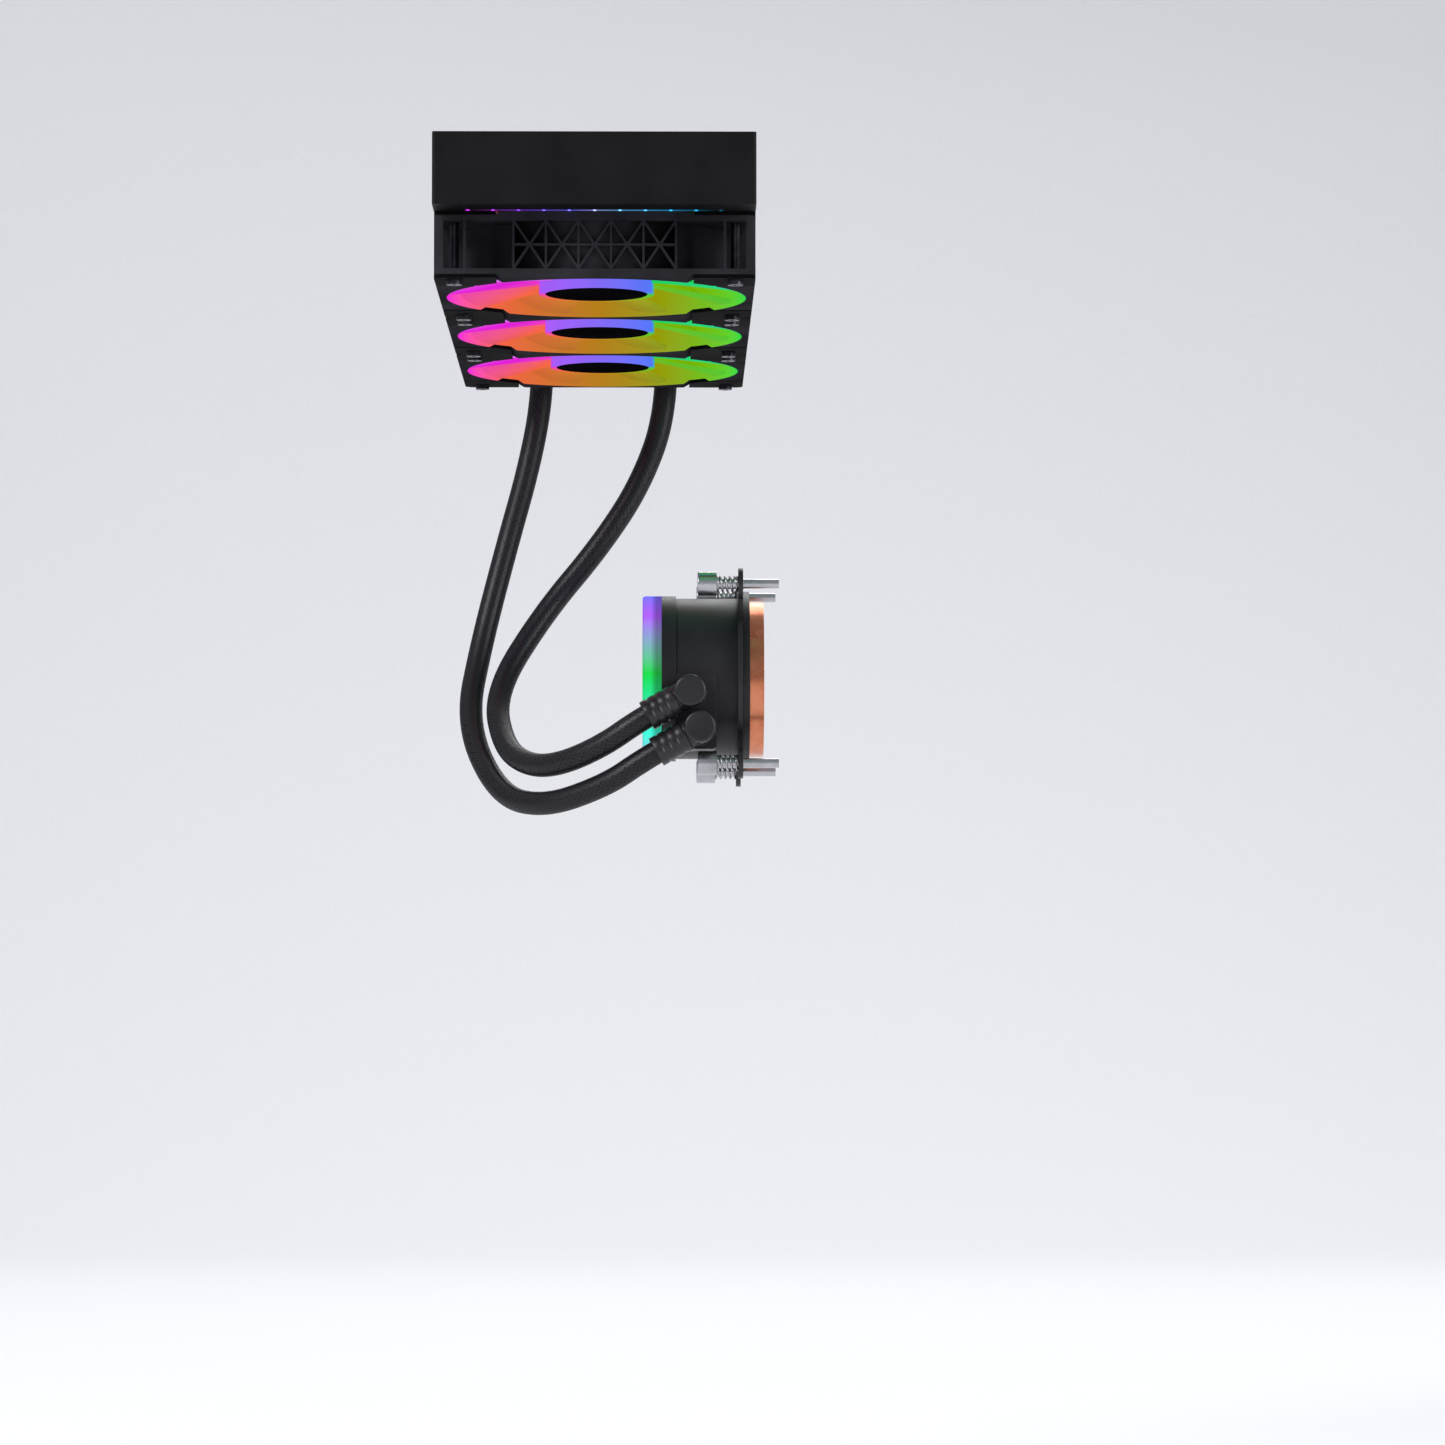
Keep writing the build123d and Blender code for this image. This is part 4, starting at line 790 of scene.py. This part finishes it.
HOSES = [
    BraidedHose(Side.LEFT, [
        (-0.027, 0.19025, -0.039), (-0.027, 0.19025, -0.055), (-0.0325, 0.190, -0.085),
        (-0.0425, 0.190, -0.121), (-0.053, 0.184, -0.163), (-0.059, 0.160, -0.1995),
        (-0.044, 0.1275, -0.2315), (-0.024, 0.1025, -0.2375), (0.002, 0.087, -0.229),
        (0.0176, 0.082, -0.2185), (0.0297, 0.082, -0.2115),
    ], 0.314),
    BraidedHose(Side.RIGHT, [
        (0.027, 0.19025, -0.039), (0.027, 0.19025, -0.062), (0.016, 0.190, -0.093),
        (-0.002, 0.186, -0.121), (-0.026, 0.183, -0.150), (-0.047, 0.163, -0.186),
        (-0.042, 0.1365, -0.211), (-0.030, 0.1125, -0.220), (-0.016, 0.0965, -0.2195),
        (0.0015, 0.086, -0.212), (0.0145, 0.082, -0.203), (0.0257, 0.082, -0.1965),
    ], 0.307),
]


# ----------------------------------------------------------------- crimped collars
@dataclass
class CrimpedCollars:
    """The four collars that hold the hose ends, turned with grooves and a rolled lip.

    Args:
        length: a collar's length.
        outer: its outside radius.
        inner: its inside radius.
        on_fitting: how far it reaches back over its fitting.
        grooves: how many grooves run round it.
        groove_depth: how deep they are.
        around: points round each ring.
    """

    length: float = 14.0 * MM
    outer: float = 6.5 * MM
    inner: float = 5.05 * MM
    on_fitting: float = 6.0 * MM
    grooves: int = 3
    groove_depth: float = 0.35 * MM
    around: int = 72

    def profile(self) -> list[tuple[float, float]]:
        """The closed outline as (distance along, radius) pairs, from the inner edge."""
        round_off = 0.5 * MM
        outline = [(0.0, self.inner), (0.0, self.outer - round_off)]
        for k in range(5):
            turn = math.pi / 2 * k / 4
            outline.append((round_off * (1 - math.cos(turn)), self.outer - round_off * (1 - math.sin(turn))))
        for k in range(self.grooves):
            middle = self.length * (k + 1) / (self.grooves + 1)
            for step in range(-4, 5):
                depth = self.groove_depth * math.cos(math.pi / 8 * step) ** 2
                outline.append((middle + step * 0.2 * MM, self.outer - depth))
        for k in range(5):
            turn = math.pi / 2 * k / 4
            back, down = round_off * (1 - math.sin(turn)), round_off * (1 - math.cos(turn))
            outline.append((self.length - back, self.outer - down))
        outline.append((self.length, self.inner))
        return outline

    def seats(self) -> list[tuple[Vector, Vector]]:
        """Where each collar starts and which way it points, from the hoses' routes."""
        found = []
        for hose in HOSES:
            for end, inside in ((0, 1), (-1, -2)):
                place = Vector(hose.route[end])
                way = (Vector(hose.route[inside]) - place).normalized()
                found.append((place - way * self.on_fitting, way))
        return found

    def build(self, palette: Palette) -> bpy.types.Object:
        """Builds the collars as one piece in place of their CAD node."""
        outline = np.array(self.profile())
        angle = np.arange(self.around) * math.tau / self.around
        points, faces = [], []
        rows = len(outline)
        for start, way in self.seats():
            side = way.orthogonal().normalized()
            other = way.cross(side)
            spokes = np.cos(angle)[:, None] * np.array(side) + np.sin(angle)[:, None] * np.array(other)
            lengthwise = outline[:, None, :1] * np.array(way)
            rings = np.array(start) + lengthwise + outline[:, None, 1:] * spokes[None]
            base = sum(len(p) for p in points)
            points.append(rings.reshape(-1, 3))
            quads = tube_faces(rows, self.around, False)
            i = np.arange(self.around)
            nexts = (i + 1) % self.around
            last = (rows - 1) * self.around
            seam = np.stack([last + i, last + nexts, nexts, i], -1)
            faces.append(np.concatenate([quads, seam]) + base)
        piece = mesh_object("crimped_collars", np.concatenate(points), np.concatenate(faces))
        smooth_by_angle(piece, 40)
        palette.dress(piece, "fitting_metal")
        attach(piece, ROOT_BODY)
        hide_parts("hose_collars")
        LOG.info("collars: %d", len(points))
        return piece


def smooth_by_angle(piece: bpy.types.Object, degrees: float) -> None:
    """Marks edges sharper than an angle, so that smooth shading keeps them crisp."""
    mesh = bmesh.new()
    mesh.from_mesh(piece.data)
    bmesh.ops.recalc_face_normals(mesh, faces=mesh.faces)
    limit = math.radians(degrees)
    for edge in mesh.edges:
        edge.smooth = len(edge.link_faces) == 2 and edge.calc_face_angle(0.0) < limit
    for face in mesh.faces:
        face.smooth = True
    mesh.to_mesh(piece.data)
    mesh.free()


# ------------------------------------------------------------------------- springs
@dataclass
class MountingSprings:
    """Coil springs under the pump's four captive nuts.

    Args:
        turns: turns of wire in each.
        wire: the wire's radius.
        around: points round the wire.
        per_turn: rings in each turn.
    """

    turns: float = 5.5
    wire: float = 0.45 * MM
    around: int = 10
    per_turn: int = 36

    def build(self, palette: Palette) -> bpy.types.Object:
        """Builds the four springs as one piece in place of their CAD node."""
        low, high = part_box("mounting_springs")
        radius = 3.4 * MM - self.wire
        reach = 3.4 * MM
        centres = [(y, z) for y in (low.y + reach, high.y - reach) for z in (low.z + reach, high.z - reach)]
        count = int(self.turns * self.per_turn)
        share = np.linspace(0, 1, count)
        lift = np.clip((share * self.turns - 0.75) / (self.turns - 1.5), 0, 1)
        x = low.x + self.wire + lift * (high.x - low.x - 2 * self.wire)
        turn = share * self.turns * math.tau
        points, faces = [], []
        for y, z in centres:
            line = np.stack([x, y + radius * np.cos(turn), z + radius * np.sin(turn)], 1)
            first, second = carried(line)
            angle = np.arange(self.around) * math.tau / self.around
            rings = line[:, None] + self.wire * (
                np.cos(angle)[None, :, None] * first[:, None] + np.sin(angle)[None, :, None] * second[:, None]
            )
            base = sum(len(p) for p in points)
            points.append(np.concatenate([rings.reshape(-1, 3), line[:1], line[-1:]]))
            faces += [[i + base for i in face] for face in as_lists(tube_faces(count, self.around, True))]
        mesh = bpy.data.meshes.new("coil_springs")
        mesh.from_pydata(np.concatenate(points).tolist(), [], faces)
        mesh.shade_smooth()
        piece = bpy.data.objects.new("coil_springs", mesh)
        bpy.context.scene.collection.objects.link(piece)
        palette.dress(piece, "steel")
        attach(piece, ROOT_BODY)
        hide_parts("mounting_springs")
        LOG.info("springs: %d", len(centres))
        return piece


# ---------------------------------------------------------------------------- fins
@dataclass
class FoldedFins:
    """Twelve packs of finely folded ribbon between the radiator's flat tubes.

    Args:
        period: length of one full fold.
        sheet: thickness of the ribbon.
        bend: how far along the fold each rounded crest takes.
        tube_count: flat tubes in the core.
        tube_pitch: distance between them.
        tube_thick: thickness of a tube.
    """

    period: float = 2.6 * MM
    sheet: float = 0.12 * MM
    bend: float = 0.35 * MM
    tube_count: int = 11
    tube_pitch: float = 9.45 * MM
    tube_thick: float = 2.0 * MM

    def walls(self) -> list[tuple[float, float]]:
        """The two walls that each pack touches, as X positions."""
        low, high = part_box("fin_packs")
        edges = [low.x]
        for i in range(self.tube_count):
            x = (i - (self.tube_count - 1) / 2) * self.tube_pitch
            edges += [x - self.tube_thick / 2, x + self.tube_thick / 2]
        edges.append(high.x)
        return list(zip(edges[::2], edges[1::2]))

    def build(self, palette: Palette) -> bpy.types.Object:
        """Builds the packs as one piece in place of their CAD node."""
        low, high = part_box("fin_packs")
        folds = int((high.y - low.y) / self.period)
        start = (low.y + high.y - folds * self.period) / 2
        steps = [(0.0, 0.25), (0.06, 0.0), (0.12, 0.0), (0.18, 0.25)]
        points, faces = [], []
        for near, far in self.walls():
            depth = far - near
            line = []
            for i in range(folds):
                y = start + i * self.period
                for share, off in steps:
                    line.append((near + off * self.bend * 4, y + share * self.period * 2))
                for share, off in steps:
                    line.append((far - off * self.bend * 4, y + (share * 2 + 0.5) * self.period))
            line = np.array(line)
            line[:, 0] = np.clip(line[:, 0], near, near + depth)
            tangent = np.gradient(line, axis=0)
            tangent /= np.linalg.norm(tangent, axis=1)[:, None]
            normal = np.stack([-tangent[:, 1], tangent[:, 0]], 1) * self.sheet / 2
            left, right = line + normal, line - normal
            rows = []
            for outline, z in ((left, high.z), (right, high.z), (right, low.z), (left, low.z)):
                rows.append(np.column_stack([outline, np.full(len(line), z)]))
            ring = np.stack(rows, 1)
            base = sum(len(p) for p in points)
            points.append(ring.reshape(-1, 3))
            faces.append(tube_faces(len(line), 4, False) + base)
        piece = mesh_object("folded_fins", np.concatenate(points), np.concatenate(faces), smooth=False)
        palette.dress(piece, "core_metal")
        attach(piece, ROOT_BODY)
        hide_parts("fin_packs")
        LOG.info("fins: %d packs of %d folds", len(points), folds)
        return piece


# ----------------------------------------------------------------------- CAD nodes
class CadDressing:
    """Gives each CAD node that still shows the finish of its own material slot."""

    def dress(self, palette: Palette) -> None:
        """Dresses every node by the record's slots."""
        slots = {part["node"]: part["material_slot"] for part in frame["record"]["subparts"]}
        for name, node in frame["nodes"].items():
            palette.dress(node, slots[name])
        # The front tank and header take the paint with painted glints.
        for name in ("tank_front", "header_front"):
            frame["nodes"][name].data.materials[0] = palette.front_paint_painted_glints
        LOG.info("CAD nodes dressed: %d", len(frame["nodes"]))


# --------------------------------------------------------------------------- stage
@dataclass
class Studio:
    """Camera, pale sweep and soft lamps.

    Args:
        eye: the camera's place.
        lens: focal length in millimetres on a 36 mm sensor.
        yaw: how far it looks to the right, in degrees.
        pitch: how far it looks up, in degrees.
        floor: height of the floor.
    """

    eye: tuple[float, float, float] = (0.025, -2.3391, -0.3393)
    lens: float = 145.3
    yaw: float = 0.60
    pitch: float = 3.22
    floor: float = -0.52

    def camera(self) -> None:
        """Stands the camera in front of the object, a little below it."""
        data = bpy.data.cameras.new("camera")
        data.lens = self.lens
        data.sensor_width = 36.0
        data.clip_start, data.clip_end = 0.05, 60
        camera = bpy.data.objects.new("camera", data)
        camera.location = self.eye
        camera.rotation_euler = (math.radians(90 + self.pitch), 0, math.radians(-self.yaw))
        bpy.context.scene.collection.objects.link(camera)
        bpy.context.scene.camera = camera

    def lamp(self, name: str, place: tuple, size: float, power: float, tint: tuple = (1, 1, 1)) -> None:
        """A square soft lamp aimed at the object's middle."""
        data = bpy.data.lights.new(name, "AREA")
        data.shape = "SQUARE"
        data.size = size
        data.energy = power
        data.color = tint
        lamp = bpy.data.objects.new(name, data)
        lamp.location = place
        low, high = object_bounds()
        aim = (low + high) / 2 - Vector(place)
        lamp.rotation_euler = aim.to_track_quat("-Z", "Y").to_euler()
        bpy.context.scene.collection.objects.link(lamp)

    def sweep(self) -> None:
        """A floor that curves up into a backdrop, in one pale finish."""
        half, back, radius, top = 14.0, 4.0, 1.2, 6.0
        outline = [(-9.0, self.floor), (back - radius, self.floor)]
        for k in range(1, 13):
            turn = math.pi / 2 * k / 12
            rise = radius * (1 - math.cos(turn))
            outline.append((back - radius + radius * math.sin(turn), self.floor + rise))
        outline.append((back, top))
        points = np.array([(x, y, z) for y, z in outline for x in (-half, half)])
        count = len(outline)
        faces = np.array([(2 * i, 2 * i + 1, 2 * i + 3, 2 * i + 2) for i in range(count - 1)])
        piece = mesh_object("studio_sweep", points, faces)
        graph = NodeGraph("sweep_paper")
        grain = graph.mapped(graph.noise(2 * MM, detail=3), 0.3, 0.7, 0, 1)
        graph.set(
            base_color=graph.mix(grain, linear(236, 236, 237), linear(240, 240, 241)),
            roughness=0.9,
            specular_ior_level=0.2,
        )
        piece.data.materials.append(graph.material)
        piece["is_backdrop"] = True

    def build(self) -> None:
        """Sets up the lamps, the backdrop and the surroundings."""
        scene = bpy.context.scene
        scene.view_settings.view_transform = "Standard"
        world = bpy.data.worlds.new("room")
        world.use_nodes = True
        world.node_tree.nodes["Background"].inputs["Color"].default_value = (0.9, 0.92, 1.0, 1)
        world.node_tree.nodes["Background"].inputs["Strength"].default_value = 0.5
        scene.world = world
        self.sweep()
        self.lamp("key", (-1.9, -1.7, 1.3), 1.2, 52)
        self.lamp("fill", (2.0, -1.3, 0.5), 1.2, 26)
        self.lamp("back", (0.4, 2.2, 2.4), 2.4, 60)
        LOG.info("studio set")


def main() -> None:
    """Builds the camera, the hoses, the other pieces and the stage, in that order."""
    logging.basicConfig(level=logging.INFO, format="%(name)s: %(message)s")
    studio = Studio()
    studio.camera()
    palette = Palette()
    for hose in HOSES:
        hose.build(palette)
    CadDressing().dress(palette)
    CrimpedCollars().build(palette)
    MountingSprings().build(palette)
    FoldedFins().build(palette)
    studio.build()


if __name__ == "__main__":
    main()
